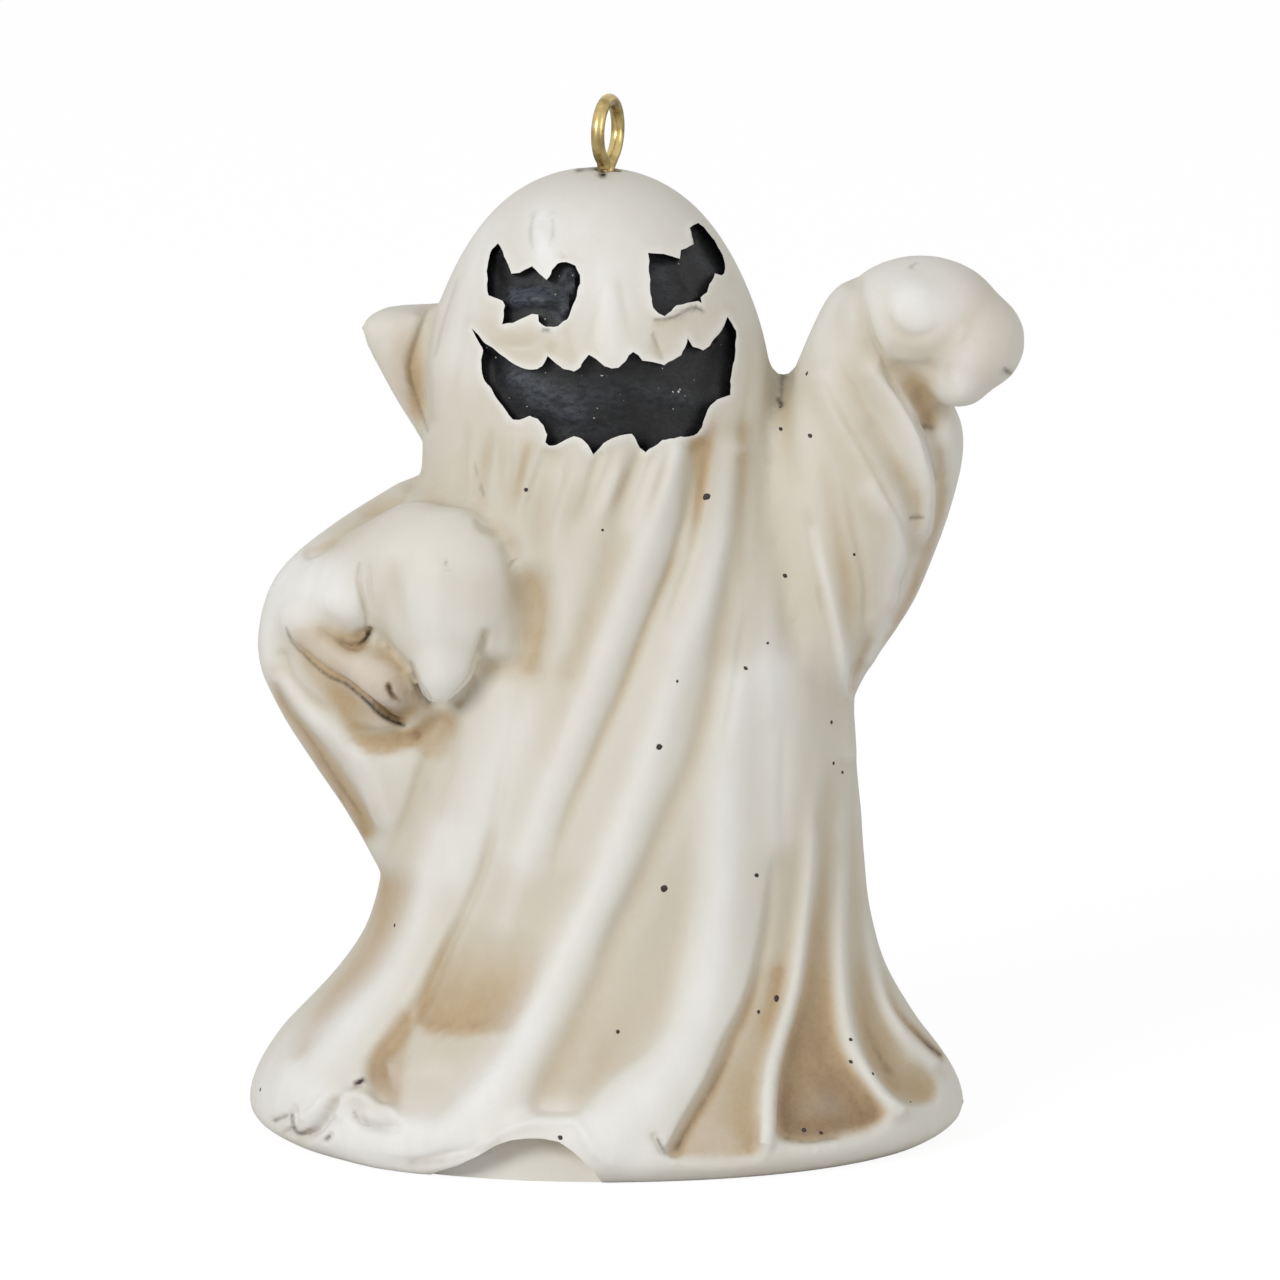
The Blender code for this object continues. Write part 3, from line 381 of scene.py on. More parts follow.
# Folds in the drawing plane: relief at both ends, reach at both ends, path as (side, up) points
frontFolds = {
    # skirt
    "left ridge": (0.2, 0.6, 1.3, 1.9, ((-13.2, 19), (-14.5, 15), (-16.4, 11.5), (-18.4, 9), (-20.8, 6.5),
        (-23.5, 4))),
    "left crease top": (-0.12, -0.25, 0.5, 0.5, ((-6.4, 34), (-7.0, 30), (-8, 25.5), (-8.6, 22.8))),
    "left side line": (-0.16, -0.2, 0.4, 0.45, ((-12.8, 30), (-13.8, 27), (-15, 23.4), (-16.4, 20))),
    "left side line two": (-0.14, -0.16, 0.35, 0.4, ((-10.8, 30), (-11.8, 26.6), (-13, 23), (-13.8, 20.6))),
    "left crease": (-0.3, -0.7, 0.5, 0.8, ((-8, 25.5), (-9.2, 20), (-10.6, 16.5), (-12.4, 12.8),
        (-13.9, 9.8), (-15.7, 7.2), (-17.2, 5.2), (-16.9, 2.6))),
    "left crease line": (-0.1, -0.15, 0.35, 0.5, ((-8.4, 23.6), (-9.5, 19.2), (-10.6, 16.6), (-12.2, 13.3),
        (-13.2, 10.6), (-14.3, 8.7))),
    "middle ridge": (0.35, 0.75, 1.1, 1.7, ((9.4, 50.5), (8.9, 45.8), (7.6, 41), (5.4, 35), (3.6, 29),
        (1.6, 23), (-0.6, 18), (-2.8, 13.5), (-4.8, 9.6), (-7, 5.8), (-9.6, 2.2), (-12, -0.4))),
    "second ridge": (0.5, 0.35, 1.0, 1.4, ((4.9, 50.3), (3.8, 46.5), (2.2, 41.5), (0.6, 37), (-1.6, 31.5),
        (-4, 26), (-6.2, 20), (-7.6, 15.5))),
    "crease beside the second ridge": (-0.6, -0.2, 0.8, 1.0, ((6.6, 50.5), (6.1, 46), (4.6, 41), (2.4, 36),
        (0, 30.3), (-2.3, 25), (-3.8, 20.5))),
    "crease line of the second ridge": (-0.25, -0.1, 0.3, 0.35, ((6.0, 49.5), (5.7, 46), (4.9, 42.8),
        (3.6, 39.2), (2.2, 35.6), (0.8, 32), (-0.3, 29.7), (-1.4, 27), (-2.6, 24.4), (-3.6, 21.2),
        (-4.1, 18))),
    "third crease line": (-0.3, -0.1, 0.35, 0.35, ((7.6, 51.2), (7.0, 48), (6.7, 45.6), (6.2, 43),
        (5.5, 40.8), (4.8, 38.8), (4.3, 37.2))),
    "middle valley": (-0.3, -0.5, 0.7, 0.9, ((10, 49.5), (9.3, 43.5), (8.5, 37.5), (7.6, 32), (6.2, 27),
        (3.9, 22), (1.8, 17), (0, 13.4), (-1.4, 10.4), (-3.0, 7.6), (-4.6, 4.8), (-5.2, 2.6))),
    "broad ridge": (0.3, 0.75, 1.5, 2.3, ((9.6, 33), (8.8, 27), (8.6, 22), (8.4, 17.5), (7.9, 13), (7.0, 9),
        (5.2, 5.5), (2.6, 2.4), (-0.4, 0))),
    "broad ridge crease": (-0.1, -0.1, 0.4, 0.4, ((10.3, 39), (9.9, 36.4), (9.5, 33.4), (9.0, 30.6),
        (8.5, 28))),
    "right crease": (-0.3, -0.5, 0.4, 0.55, ((12.5, 21), (11.9, 16), (11.3, 12.6), (10.4, 9.4), (9.0, 6.6),
        (7.6, 3.5), (5.8, 0.6), (5.0, -1.2))),
    "thin right ridge": (0.05, 0.65, 0.7, 0.5, ((14.4, 40), (15.2, 34), (15.5, 28), (15.3, 23), (14.9, 18),
        (14.4, 14.2), (13.7, 10), (12.7, 6.6), (12.0, 3.6), (11.7, -0.8))),
    "right ridge": (0.05, 0.65, 0.7, 0.45, ((16.8, 33), (17.3, 27), (17.5, 21), (17.3, 15), (17.4, 10),
        (17.9, 7), (18.8, 4.8), (20.2, 2.6), (21.6, 1.4))),
    "outer right ridge": (0.05, 0.6, 0.5, 0.45, ((18.2, 28), (18.7, 22), (19.2, 17), (19.7, 12.8),
        (20.5, 9.6), (21.9, 7.2), (24.3, 4.9))),
    "outer right valley": (-0.2, -0.5, 0.35, 0.4, ((20.1, 13), (21.2, 9.4), (22.8, 7.2), (24.8, 5.3))),
    "hem groove": (-0.2, -0.35, 0.35, 0.45, ((-17.5, -2.1), (-14.3, -2.3), (-12, -1.8), (-9.6, -1.35))),
    "hem edge": (0.3, 0.3, 0.45, 0.5, ((-21, -1.7), (-17, -2.5), (-13.2, -2.7), (-9.7, -1.5), (-8.2, -0.3),
        (-6.1, 0.6), (-3.6, 0.9), (-2.2, 0.6), (-0.9, -1.4), (1.2, -3.0))),
    "hem crumple": (-0.8, -0.75, 0.4, 0.45, ((-22.6, -0.7), (-21.6, 0.2), (-20.4, 2.1))),
    "hem crumple ridge": (0.35, 0.3, 0.35, 0.35, ((-22.6, 0.9), (-21.6, 1.7), (-21.0, 2.8))),
    "hem crumple side": (-0.35, -0.35, 0.3, 0.3, ((-24.9, 0.5), (-24, 0.9), (-23.4, 1.5))),
    "hem crumple edge": (-0.4, -0.4, 0.25, 0.3, ((-23.5, 1.1), (-23.4, 0.2), (-23.9, -0.3), (-23.1, -0.6))),
    "hem dimple": (-0.5, -0.4, 0.5, 0.5, ((-18.7, 1.4), (-18.3, 0.6), (-17, 0.3), (-15.9, 0.3))),
    "hem pit": (-0.4, -0.3, 0.3, 0.3, ((-18.8, 3.4), (-18.2, 3.7))),
    "hem pit low": (-0.4, -0.4, 0.25, 0.25, ((-21, -0.8), (-20.7, -0.4))),
    "hem curl": (0.55, 0.4, 0.5, 0.5, ((-19.9, 1.2), (-19.2, 2.5), (-17.6, 2.3), (-15.9, 1.3))),
    "hem chip": (-0.35, -0.35, 0.3, 0.25, ((3.5, -0.3), (4.0, -1.4))),
    # chest
    "chest valley": (-0.4, -0.3, 0.9, 1.2, ((-4.2, 50), (-5.1, 46), (-5.2, 41), (-5.6, 37))),
    "chest ridge": (0.3, 0.1, 0.6, 0.7, ((-3.2, 49), (-3.7, 45.5), (-4.4, 42))),
    "small chest valley": (-0.3, -0.3, 0.8, 0.9, ((2.2, 50.5), (1, 45.5), (-0.6, 40), (-2.8, 34))),
    "chin crease left": (-0.32, -0.16, 0.4, 0.55, ((-0.7, 50), (-1.6, 47), (-2.3, 44.6))),
    "chin crease right": (-0.32, -0.16, 0.4, 0.55, ((2.5, 50.4), (1.6, 48), (0.5, 45.4))),
    "chest side line": (-0.24, -0.14, 0.4, 0.5, ((-7.9, 52), (-7.7, 49.6), (-7.9, 47.4), (-8.0, 45.8))),
    "chest side line two": (-0.22, -0.14, 0.4, 0.5, ((-10.9, 50.8), (-11.2, 48.6), (-11.0, 46.3))),
    "temple line": (-0.1, -0.16, 0.35, 0.4, ((-10.2, 65.6), (-11.3, 62.8), (-12.2, 60), (-12.8, 57.6))),
    "temple line two": (-0.08, -0.12, 0.4, 0.45, ((-9.8, 64.6), (-10.6, 60.8), (-11.2, 57), (-11.6, 53.4))),
    "chin groove one": (-0.2, -0.12, 0.3, 0.35, ((-10.4, 52.6), (-10.7, 49.4), (-10.6, 46.6))),
    "chin groove two": (-0.2, -0.12, 0.3, 0.35, ((-7.1, 51.6), (-7.2, 48.6), (-7.9, 45.2))),
    "chin groove three": (-0.2, -0.12, 0.3, 0.35, ((-4.4, 50.8), (-5.6, 47.6), (-6.2, 44.8))),
    "chin groove four": (-0.2, -0.12, 0.3, 0.35, ((-2.6, 50.4), (-3.4, 47.4), (-4.4, 44.0))),
    "chin groove five": (-0.2, -0.12, 0.3, 0.35, ((0.7, 50.8), (-0.5, 47.8), (-1.6, 45.2))),
    "chin groove six": (-0.2, -0.12, 0.3, 0.35, ((3.7, 51.2), (2.8, 48.4), (1.5, 45.0))),
    "chin line one": (-0.24, -0.16, 0.35, 0.45, ((-8.5, 52.4), (-9.1, 49), (-9.6, 45.4))),
    "chin line two": (-0.26, -0.16, 0.35, 0.45, ((-5.9, 50.8), (-6.6, 48), (-7.3, 45.4))),
    "chin line three": (-0.28, -0.2, 0.35, 0.45, ((4.7, 50.9), (3.9, 48), (2.8, 45.2))),
    "chin ridge": (0.2, 0.15, 0.4, 0.5, ((1.2, 50.6), (0.3, 47.6), (-1.2, 44))),
    "chest side line three": (-0.18, -0.12, 0.4, 0.4, ((-9.6, 47.6), (-9.4, 46.2), (-8.6, 45))),
    "right body ridge": (0.2, 0.15, 0.8, 0.9, ((12.4, 49), (12.4, 44), (12.1, 37), (11.9, 31))),
    "right body line": (-0.18, -0.1, 0.5, 0.6, ((10.3, 49.3), (10.2, 46.5), (10.0, 42.5), (10.4, 38.6))),
    "right body line two": (-0.12, -0.12, 0.5, 0.5, ((13.2, 31), (13.1, 26), (12.9, 21))),
    "right body line three": (-0.14, -0.16, 0.6, 0.7, ((15.2, 36), (15.5, 31), (15.4, 25), (16.2, 20))),
    "right body line four": (-0.12, -0.12, 0.4, 0.5, ((17.4, 29), (17.2, 25), (16.8, 21.5))),
    "shade beside the hand": (-0.6, -0.3, 1.3, 1.6, ((-5.6, 40.5), (-5.3, 36.8), (-6.0, 33.8))),
    "neck crease": (-0.5, -0.2, 0.7, 0.9, ((13.1, 56.4), (13.1, 53), (13.4, 49))),
    # raised arm
    "sleeve front edge": (0.6, 0.45, 0.9, 0.8, ((19.8, 56.4), (21.9, 53.6), (23.3, 50.5), (23.9, 47),
        (23.8, 44.5))),
    "sleeve hollow": (-0.9, -0.5, 0.8, 0.7, ((24.2, 52.6), (24.8, 49.6), (25, 47), (24.6, 44.4),
        (23.2, 41.2), (21.6, 38.4))),
    "sleeve hollow mouth": (-0.3, -0.4, 0.9, 0.7, ((21.4, 55.8), (22.9, 54.6), (23.7, 53))),
    "sleeve fold valley": (-0.25, -0.5, 0.8, 0.8, ((19.6, 52), (21.2, 49.4), (22.6, 47.2), (22.8, 43.5),
        (22.2, 40.5))),
    "sleeve fold ridge": (0.35, 0.35, 1.0, 0.8, ((19.8, 47.5), (21.6, 45.4), (22, 42.5), (21, 38.8),
        (19.4, 35))),
    "sleeve shoulder ridge": (0.3, 0.2, 0.9, 0.9, ((15.8, 56), (17.4, 52.5), (19.3, 49.5), (20.4, 46.5))),
    "sleeve front line": (-0.2, -0.25, 0.28, 0.28, ((18.9, 61.8), (19.5, 58.8), (21.2, 55.4), (23.4, 51.6),
        (24.4, 48))),
    "sleeve long line": (-0.16, -0.2, 0.32, 0.32, ((15.3, 56.4), (17.9, 52.2), (20.6, 47.6), (22.4, 44),
        (22.7, 40.6), (21.2, 37.4))),
    "sleeve long line two": (-0.14, -0.16, 0.35, 0.35, ((16.8, 57.6), (18.8, 54), (21.0, 50.4),
        (22.4, 47.6))),
    "sleeve hanging side": (-0.22, -0.25, 0.35, 0.35, ((14.6, 46.4), (15.4, 42), (16.4, 37.8),
        (17.3, 33.4))),
    "sleeve hanging side two": (-0.14, -0.16, 0.35, 0.35, ((17.4, 48.4), (18.4, 44), (19.2, 40),
        (19.0, 36.6))),
    "sleeve inner line": (-0.15, -0.2, 0.6, 0.6, ((15.8, 50), (16.6, 46.5), (17.4, 43), (18, 39.5),
        (18.2, 36.5))),
    "sleeve hanging ridge": (0.25, 0.45, 0.7, 0.6, ((15.2, 44.5), (16.3, 40), (17.2, 36), (17.8, 32),
        (17.9, 28))),
    "sleeve hanging line": (-0.15, -0.12, 0.3, 0.3, ((15.7, 40.6), (15.9, 39.4), (16.2, 38.1))),
    "sleeve hanging valley": (-0.3, -0.6, 0.8, 0.6, ((20.2, 38), (19, 35.2), (18.3, 33))),
    "sleeve nick": (-0.25, -0.2, 0.2, 0.2, ((22.5, 45.5), (23.4, 45.5))),
    "sleeve nick upright": (-0.15, -0.15, 0.2, 0.2, ((22.9, 47.6), (23.1, 46.6), (23.1, 45.6))),
    "cuff of the raised hand": (-0.35, -0.5, 0.55, 0.8, ((18.4, 63), (18.5, 60.4), (19.4, 58), (21.2, 56.5),
        (23.6, 56.4))),
    "thumb crescent": (-0.25, -0.2, 0.4, 0.4, ((20.6, 62.8), (20.5, 61), (21.2, 59.5), (22.6, 58.8),
        (24, 59.2), (25, 60.1))),
    "palm ridge": (0.15, 0.12, 0.35, 0.35, ((26.6, 60.0), (26.1, 58.9), (25.6, 57.9))),
    "palm hollow": (-0.25, -0.2, 0.9, 0.9, ((21.5, 57.6), (23.4, 57.4), (25, 58.3))),
    "fingertip edge": (-0.2, -0.2, 0.4, 0.4, ((25.4, 57), (25.2, 55.6), (25.9, 54.2))),
    "hand nick": (-0.12, -0.12, 0.25, 0.25, ((22.4, 64), (22.8, 64.3))),
    # bent arm
    "sleeve mouth crease": (-0.15, -0.55, 0.4, 0.55, ((-23.8, 37), (-22, 34.8), (-19.8, 33.3),
        (-17.6, 31.5), (-15.4, 30.2))),
    "sleeve mouth line": (-0.25, -0.55, 0.15, 0.24, ((-23.9, 37.3), (-23.4, 36.2), (-22.4, 35.2),
        (-21.7, 34.5), (-20.7, 33.7), (-19.5, 33.2), (-18.6, 32.5), (-17.8, 31.8), (-17, 31), (-16.2, 30.5),
        (-15.3, 30.1))),
    "hollow under the sleeve": (-0.4, -0.9, 0.8, 1.0, ((-18.6, 29.2), (-16.5, 28.9), (-14, 29.2),
        (-12.6, 30.2))),
    "elbow underside valley": (-0.4, -0.6, 0.7, 0.9, ((-24.8, 32.8), (-23, 30), (-21, 27.2), (-19.4, 24.8),
        (-18, 22.4))),
    "elbow underside ridge": (0.35, 0.35, 0.7, 0.8, ((-24.6, 33.4), (-22.6, 30.9), (-19.8, 28.7),
        (-17.8, 26.4), (-17, 23))),
    "elbow inner valley": (-0.4, -0.3, 0.5, 0.5, ((-24.3, 35.2), (-23.7, 33.6), (-22.6, 32.3),
        (-21.3, 31.3), (-20.2, 31.1))),
    "elbow streak": (-0.2, -0.2, 0.3, 0.3, ((-20.9, 26.6), (-20.1, 25.3), (-19.6, 24.2), (-18.8, 23))),
    "elbow streak ridge": (0.2, 0.2, 0.3, 0.3, ((-21.4, 27), (-20, 25.2), (-18.9, 23.4), (-18, 22.2))),
    "sleeve dimple": (-0.4, -0.7, 0.9, 0.6, ((-20.8, 37), (-19.2, 36.2), (-17.9, 36.6))),
    "sleeve dimple line": (-0.15, -0.6, 0.22, 0.25, ((-21.4, 37.3), (-20.3, 36.6), (-19.3, 36.1),
        (-18.4, 36.2), (-17.7, 36.9))),
    "sleeve crease one": (-0.25, -0.3, 0.25, 0.28, ((-18.4, 42.1), (-18.6, 40.8), (-18.3, 39.5),
        (-18, 38.5), (-17.9, 37.4))),
    "sleeve crease two": (-0.25, -0.15, 0.22, 0.22, ((-17.7, 42.2), (-17.7, 40.6), (-17.5, 39.3),
        (-17.1, 38.3))),
    "sleeve mound": (0.5, 0.4, 0.9, 0.9, ((-20.6, 39.4), (-19.4, 38.6))),
    "sleeve top band": (-0.3, -0.3, 0.35, 0.35, ((-14.2, 48.2), (-15.6, 46.9), (-17.2, 46.1),
        (-18.8, 45.8))),
    "sleeve top notch": (-0.4, -0.2, 0.4, 0.35, ((-22.3, 42.9), (-20.9, 43.5), (-19.4, 44.3))),
    "tongue pit": (-0.45, -0.25, 0.22, 0.2, ((-16.2, 33), (-16, 32.4), (-15.5, 31.9))),
    "tongue ridge": (0.3, 0.3, 0.5, 0.5, ((-15.0, 34.4), (-14.4, 32.6), (-14.9, 30.9))),
    "beside the long finger": (-0.35, -0.5, 0.4, 0.45, ((-9.0, 36.8), (-9.5, 34.9), (-10.2, 33.2),
        (-11.2, 31.9))),
    "round the bent hand": (-0.3, -0.5, 0.7, 0.8, ((-7.2, 43.2), (-6.1, 40), (-6.0, 37), (-6.8, 34.6),
        (-8.6, 34.2))),
    "between sleeve and hand": (-0.25, -0.4, 0.35, 0.4, ((-14.8, 35), (-14.2, 33.2), (-13.2, 31.6))),
    "between the fingers": (-0.3, -0.35, 0.25, 0.25, ((-8.8, 37), (-9.1, 36.1), (-9.4, 35.2))),
    "hand cuff line": (-0.2, -0.2, 0.35, 0.35, ((-9.9, 45.3), (-9.3, 44.8), (-8.3, 44.4), (-7.3, 44.2))),
    "hand pit": (-0.25, -0.25, 0.4, 0.4, ((-7.1, 42.3), (-6.8, 42))),
    "hand back ridge": (0.3, 0.3, 0.9, 0.8, ((-12.6, 41.5), (-12.7, 37.5), (-12.6, 33.5))),
    "hand side plane": (-0.2, -0.2, 0.6, 0.6, ((-16.3, 42.8), (-15.6, 39.5), (-14.6, 36.2))),
    # head
    "hood crease": (-0.5, -0.4, 0.6, 0.7, ((-13.6, 60.6), (-14.0, 57), (-13.7, 53))),
    "hood line": (-0.25, -0.3, 0.3, 0.35, ((-13.4, 61.2), (-14.1, 59.4), (-14.8, 56.7), (-14.1, 54),
        (-13.4, 51.9))),
    "hood ridge": (0.15, 0.15, 0.7, 0.7, ((-16.4, 60), (-15.9, 57.6), (-15.2, 55.4))),
    "brow crease": (-0.16, -0.18, 0.2, 0.22, ((-5.5, 67.8), (-5.7, 66.7), (-5.5, 65.4))),
    "brow crease two": (-0.16, -0.16, 0.2, 0.2, ((-4, 67.6), (-4.1, 66.8), (-3.9, 66))),
    "brow crease three": (-0.14, -0.14, 0.2, 0.2, ((-3.2, 65.3), (-3.3, 64.6))),
    "brow ridge": (0.14, 0.14, 0.45, 0.45, ((-4.8, 67.6), (-4.9, 66.4), (-4.6, 65.2))),
    "cheek crease": (-0.14, -0.18, 0.25, 0.3, ((3.3, 59), (3.7, 58.1), (4, 57.2))),
    "cheek chip": (-0.18, -0.18, 0.22, 0.22, ((3.3, 60), (4.1, 59.9), (4.9, 60.1))),
    "cheek edge": (0.2, 0.15, 0.35, 0.35, ((3.4, 60.5), (4.6, 60.2), (6.4, 61.1))),
    "cheek line left": (-0.12, -0.15, 0.25, 0.25, ((-4.4, 58.6), (-4.1, 58), (-4.3, 57.4))),
    "crown chip": (-0.3, -0.2, 0.2, 0.2, ((-2.2, 71.6), (-1.6, 71.7), (-1.0, 71.65))),
    "crown pit": (-0.35, -0.35, 0.2, 0.2, ((-0.45, 71.0), (-0.3, 70.95))),
    "nose line": (-0.12, -0.16, 0.4, 0.4, ((-0.2, 63.4), (-0.5, 61.5), (-1.0, 59.4), (-1.4, 57.9))),
    "nose line right": (-0.1, -0.15, 0.4, 0.4, ((0.8, 64), (1.2, 61.6), (1.9, 58.8))),
    "nose line left": (-0.12, -0.14, 0.35, 0.35, ((-3.1, 60.4), (-2.8, 59), (-2.3, 57.4))),
    "cheek fold": (-0.14, -0.16, 0.4, 0.4, ((-8.6, 58.9), (-6.6, 58.7), (-5, 58.9))),
    "cheek fold low": (0.14, 0.14, 0.4, 0.4, ((-8.2, 58.2), (-6.4, 57.9), (-5, 58.1))),
    "mouth side line": (-0.12, -0.16, 0.35, 0.4, ((10.3, 59.6), (10.6, 56.4), (10.2, 53.2), (9.9, 50.4))),
    "mouth side line two": (-0.12, -0.14, 0.4, 0.4, ((11.4, 60.6), (11.9, 57), (11.8, 53), (11.5, 49.6))),
    "nose ridge": (0.2, 0.12, 0.9, 0.9, ((0.3, 62), (0.2, 59), (0.1, 57.8))),
}
# Pockets of the skirt in the drawing plane: relief at the top and the foot, wash at the top and the foot,
# softness of the edge, outline
pockets = {
    "outer left": (-0.15, -0.6, 0.4, 0.62, 1.1, ((-17.4, 19), (-14.4, 18.5), (-15.2, 14.6), (-17, 11.7),
        (-19.4, 9.2), (-21.8, 6.2), (-23, 5.3), (-23.1, 6.2), (-22.4, 7.8), (-21.1, 10), (-19.5, 12.1),
        (-18.2, 14.6))),
    "left": (-0.1, -0.75, 0.03, 0.12, 1.0, ((-8.4, 20), (-10.4, 15.7), (-12.2, 13.1), (-14, 10.3),
        (-15.7, 7.8), (-17.7, 5.5), (-18, 4.2), (-16.8, 2.4), (-15.2, 1.4), (-12.9, 1.2), (-10.4, 3),
        (-8.4, 5.2), (-7, 7.6), (-5.6, 10.4), (-4, 13.5), (-2.4, 16.4), (-1.6, 19))),
    "middle": (0.0, -0.85, 0.0, 0.28, 0.7, ((5.2, 27), (4.0, 23), (2, 18.5), (0.1, 15), (-0.7, 11.9),
        (-2.1, 9.1), (-3.3, 7.1), (-4.7, 4.6), (-5.5, 2.4), (-5.1, 1.5), (-3.6, 1.1), (-2.1, 1.7), (0, 4),
        (2.8, 6.1), (4.3, 8.1), (5, 10.5), (5.5, 12.9), (6, 15.7), (6.4, 19), (6.4, 23), (6.6, 27))),
    "right": (0.0, -0.8, 0.04, 0.47, 0.6, ((13.4, 26), (12.5, 19), (11.7, 15), (11.1, 12.2), (10.2, 9.4),
        (8.8, 6.7), (7.4, 3.5), (5.2, -0.5), (4.8, -1.75), (11.0, -1.85), (11.1, 1.8), (11.4, 4.6),
        (12, 6.4), (13, 9.1), (13.7, 12.2), (14.1, 15.7), (14.4, 18.5), (14.6, 26))),
    "wide": (0.0, -1.15, 0.1, 0.8, 0.7, ((16.0, 27), (15.4, 19), (14.9, 15), (14.5, 11.5), (13.8, 8.8),
        (13.1, 6.7), (12.6, 4.6), (12.3, 1.8), (12.5, 0.3), (13.3, -0.5), (14.8, -0.75), (17.1, -0.5),
        (19.5, 0.1), (20.5, 1.3), (19.4, 3.2), (18, 4.9), (17.1, 7), (16.8, 9.8), (16.6, 15), (16.8, 18.5),
        (16.9, 27))),
    "right valley": (0.0, -0.85, 0.05, 0.45, 0.5, ((18, 26), (18, 18.5), (18, 13.3), (18.2, 9.8), (18.6, 7),
        (19.3, 4.9), (20.6, 3.2), (21.9, 2.2), (23.3, 1.9), (24.4, 2.2), (24.6, 3.2), (23.9, 4.2),
        (22.5, 5.3), (21.5, 6.7), (20.4, 8.8), (19.7, 11.2), (19.1, 14.3), (18.7, 18.5), (18.4, 26))),
}
# Folds seen from behind, as (side, height) points
backFolds = {
    "first ridge": (0.1, 1.0, 1.4, 2.4, ((-2, 50), (-4.5, 38), (-7.5, 25), (-12.5, 11), (-17.5, 2.5))),
    "first valley": (-0.1, -1.1, 1.2, 1.9, ((0.5, 48), (-1.2, 36), (-3.4, 24), (-6.5, 12), (-9, 4))),
    "second ridge": (0.1, 1.1, 1.4, 2.4, ((3, 49), (2.4, 36), (1.4, 24), (0.2, 12), (-1, 2))),
    "second valley": (-0.1, -1.1, 1.2, 1.8, ((6, 46), (6, 34), (6.2, 22), (7, 12), (7.6, 4))),
    "third ridge": (0.1, 1.0, 1.3, 2.2, ((8.6, 44), (9.6, 32), (10.6, 22), (13, 11), (16, 3))),
    "outer valley": (-0.1, -0.8, 1.0, 1.4, ((-8, 44), (-10.5, 30), (-13.4, 18), (-17.5, 9))),
    "other outer valley": (-0.1, -0.7, 1.0, 1.3, ((13, 44), (14.5, 31), (16.2, 18), (20.5, 7.5))),
    "hood valley": (-0.3, -0.4, 0.9, 1.2, ((-6.5, 60), (-8.6, 55), (-9, 49))),
    "sleeve ridge": (0.4, 0.3, 1.2, 1.2, ((17, 58), (19, 50), (18, 42))),
    "elbow valley": (-0.5, -0.4, 1.0, 1.0, ((-18, 42), (-19, 36), (-17, 29))),
    "fine crease one": (-0.3, -0.4, 0.4, 0.5, ((1.2, 42), (0.2, 30), (-1.4, 19), (-3.6, 9))),
    "fine crease two": (-0.3, -0.4, 0.4, 0.5, ((7.4, 38), (8.0, 26), (9.4, 15), (11.4, 7))),
    "fine crease three": (-0.25, -0.35, 0.4, 0.5, ((-4.4, 44), (-7, 30), (-10.4, 17), (-14, 8))),
    "neck line": (-0.3, -0.2, 0.5, 0.5, ((3.5, 56), (5.5, 51), (6.2, 46))),
    "neck line two": (-0.3, -0.2, 0.5, 0.5, ((-1.5, 57), (-2.8, 52), (-3.2, 47))),
}


def readMesh(mesh):
    points = np.empty(len(mesh.vertices) * 3, dtype=np.float32)
    normals = np.empty(len(mesh.vertices) * 3, dtype=np.float32)
    mesh.vertices.foreach_get("co", points)
    mesh.vertex_normals.foreach_get("vector", normals)
    return points.reshape(-1, 3).astype(float) / mm, normals.reshape(-1, 3).astype(float)


def writeMesh(mesh, points):
    mesh.vertices.foreach_set("co", (points * mm).astype(np.float32).ravel())
    mesh.update()


def drawn(points):
    # Place in the drawing plane
    return points[:, 0], points[:, 2] * math.cos(tilt) + points[:, 1] * math.sin(tilt)


def pointsNear(rows, margin, across, up):
    # Numbers of the points in a box round the path
    low = rows.min(axis=0) - margin
    high = rows.max(axis=0) + margin
    return np.nonzero((across > low[0]) & (across < high[0]) & (up > low[1]) & (up < high[1]))[0]


def toRun(x, y, start, run):
    # Share of a straight run at which each point is nearest to it, and how far away it is
    t = np.clip(((x - start[0]) * run[0] + (y - start[1]) * run[1]) / max(run @ run, 1e-9), 0.0, 1.0)
    return t, np.hypot(x - start[0] - t * run[0], y - start[1] - t * run[1])


def strokeRelief(row, across, up, fade=0.0):
    # Relief of one fold or patch at each point: a soft band along a smooth path. With a fade length,
    # an end with little relief fades out over it.
    startRelief, endRelief, startReach, endReach, path = row
    rows = smoothRows(path, skin["pathSteps"])
    relief = np.zeros(len(across))
    near = pointsNear(rows, skin["farReach"] * max(startReach, endReach), across, up)
    if not len(near):
        return relief
    x = across[near]
    y = up[near]
    steps = np.linspace(0.0, 1.0, len(rows))
    nearest = np.full(len(near), np.inf)
    height = np.zeros(len(near))
    kept = np.ones(len(near))
    length = np.linalg.norm(np.diff(rows, axis=0), axis=1).sum()
    for index in range(len(rows) - 1):
        t, distance = toRun(x, y, rows[index], rows[index + 1] - rows[index])
        along = steps[index] + t * (steps[index + 1] - steps[index])
        distance /= startReach + (endReach - startReach) * along
        closer = distance < nearest
        nearest[closer] = distance[closer]
        height[closer] = (startRelief + (endRelief - startRelief) * along)[closer]
        if fade:
            share = min(fade / length, skin["longestFade"])
            left = np.ones(len(near))
            if abs(startRelief) <= skin["faintEnd"]:
                left = np.minimum(left, along / share)
            if abs(endRelief) <= skin["faintEnd"]:
                left = np.minimum(left, (1.0 - along) / share)
            kept[closer] = left[closer]
    relief[near] = height * np.exp(-nearest ** 2) * kept
    return relief


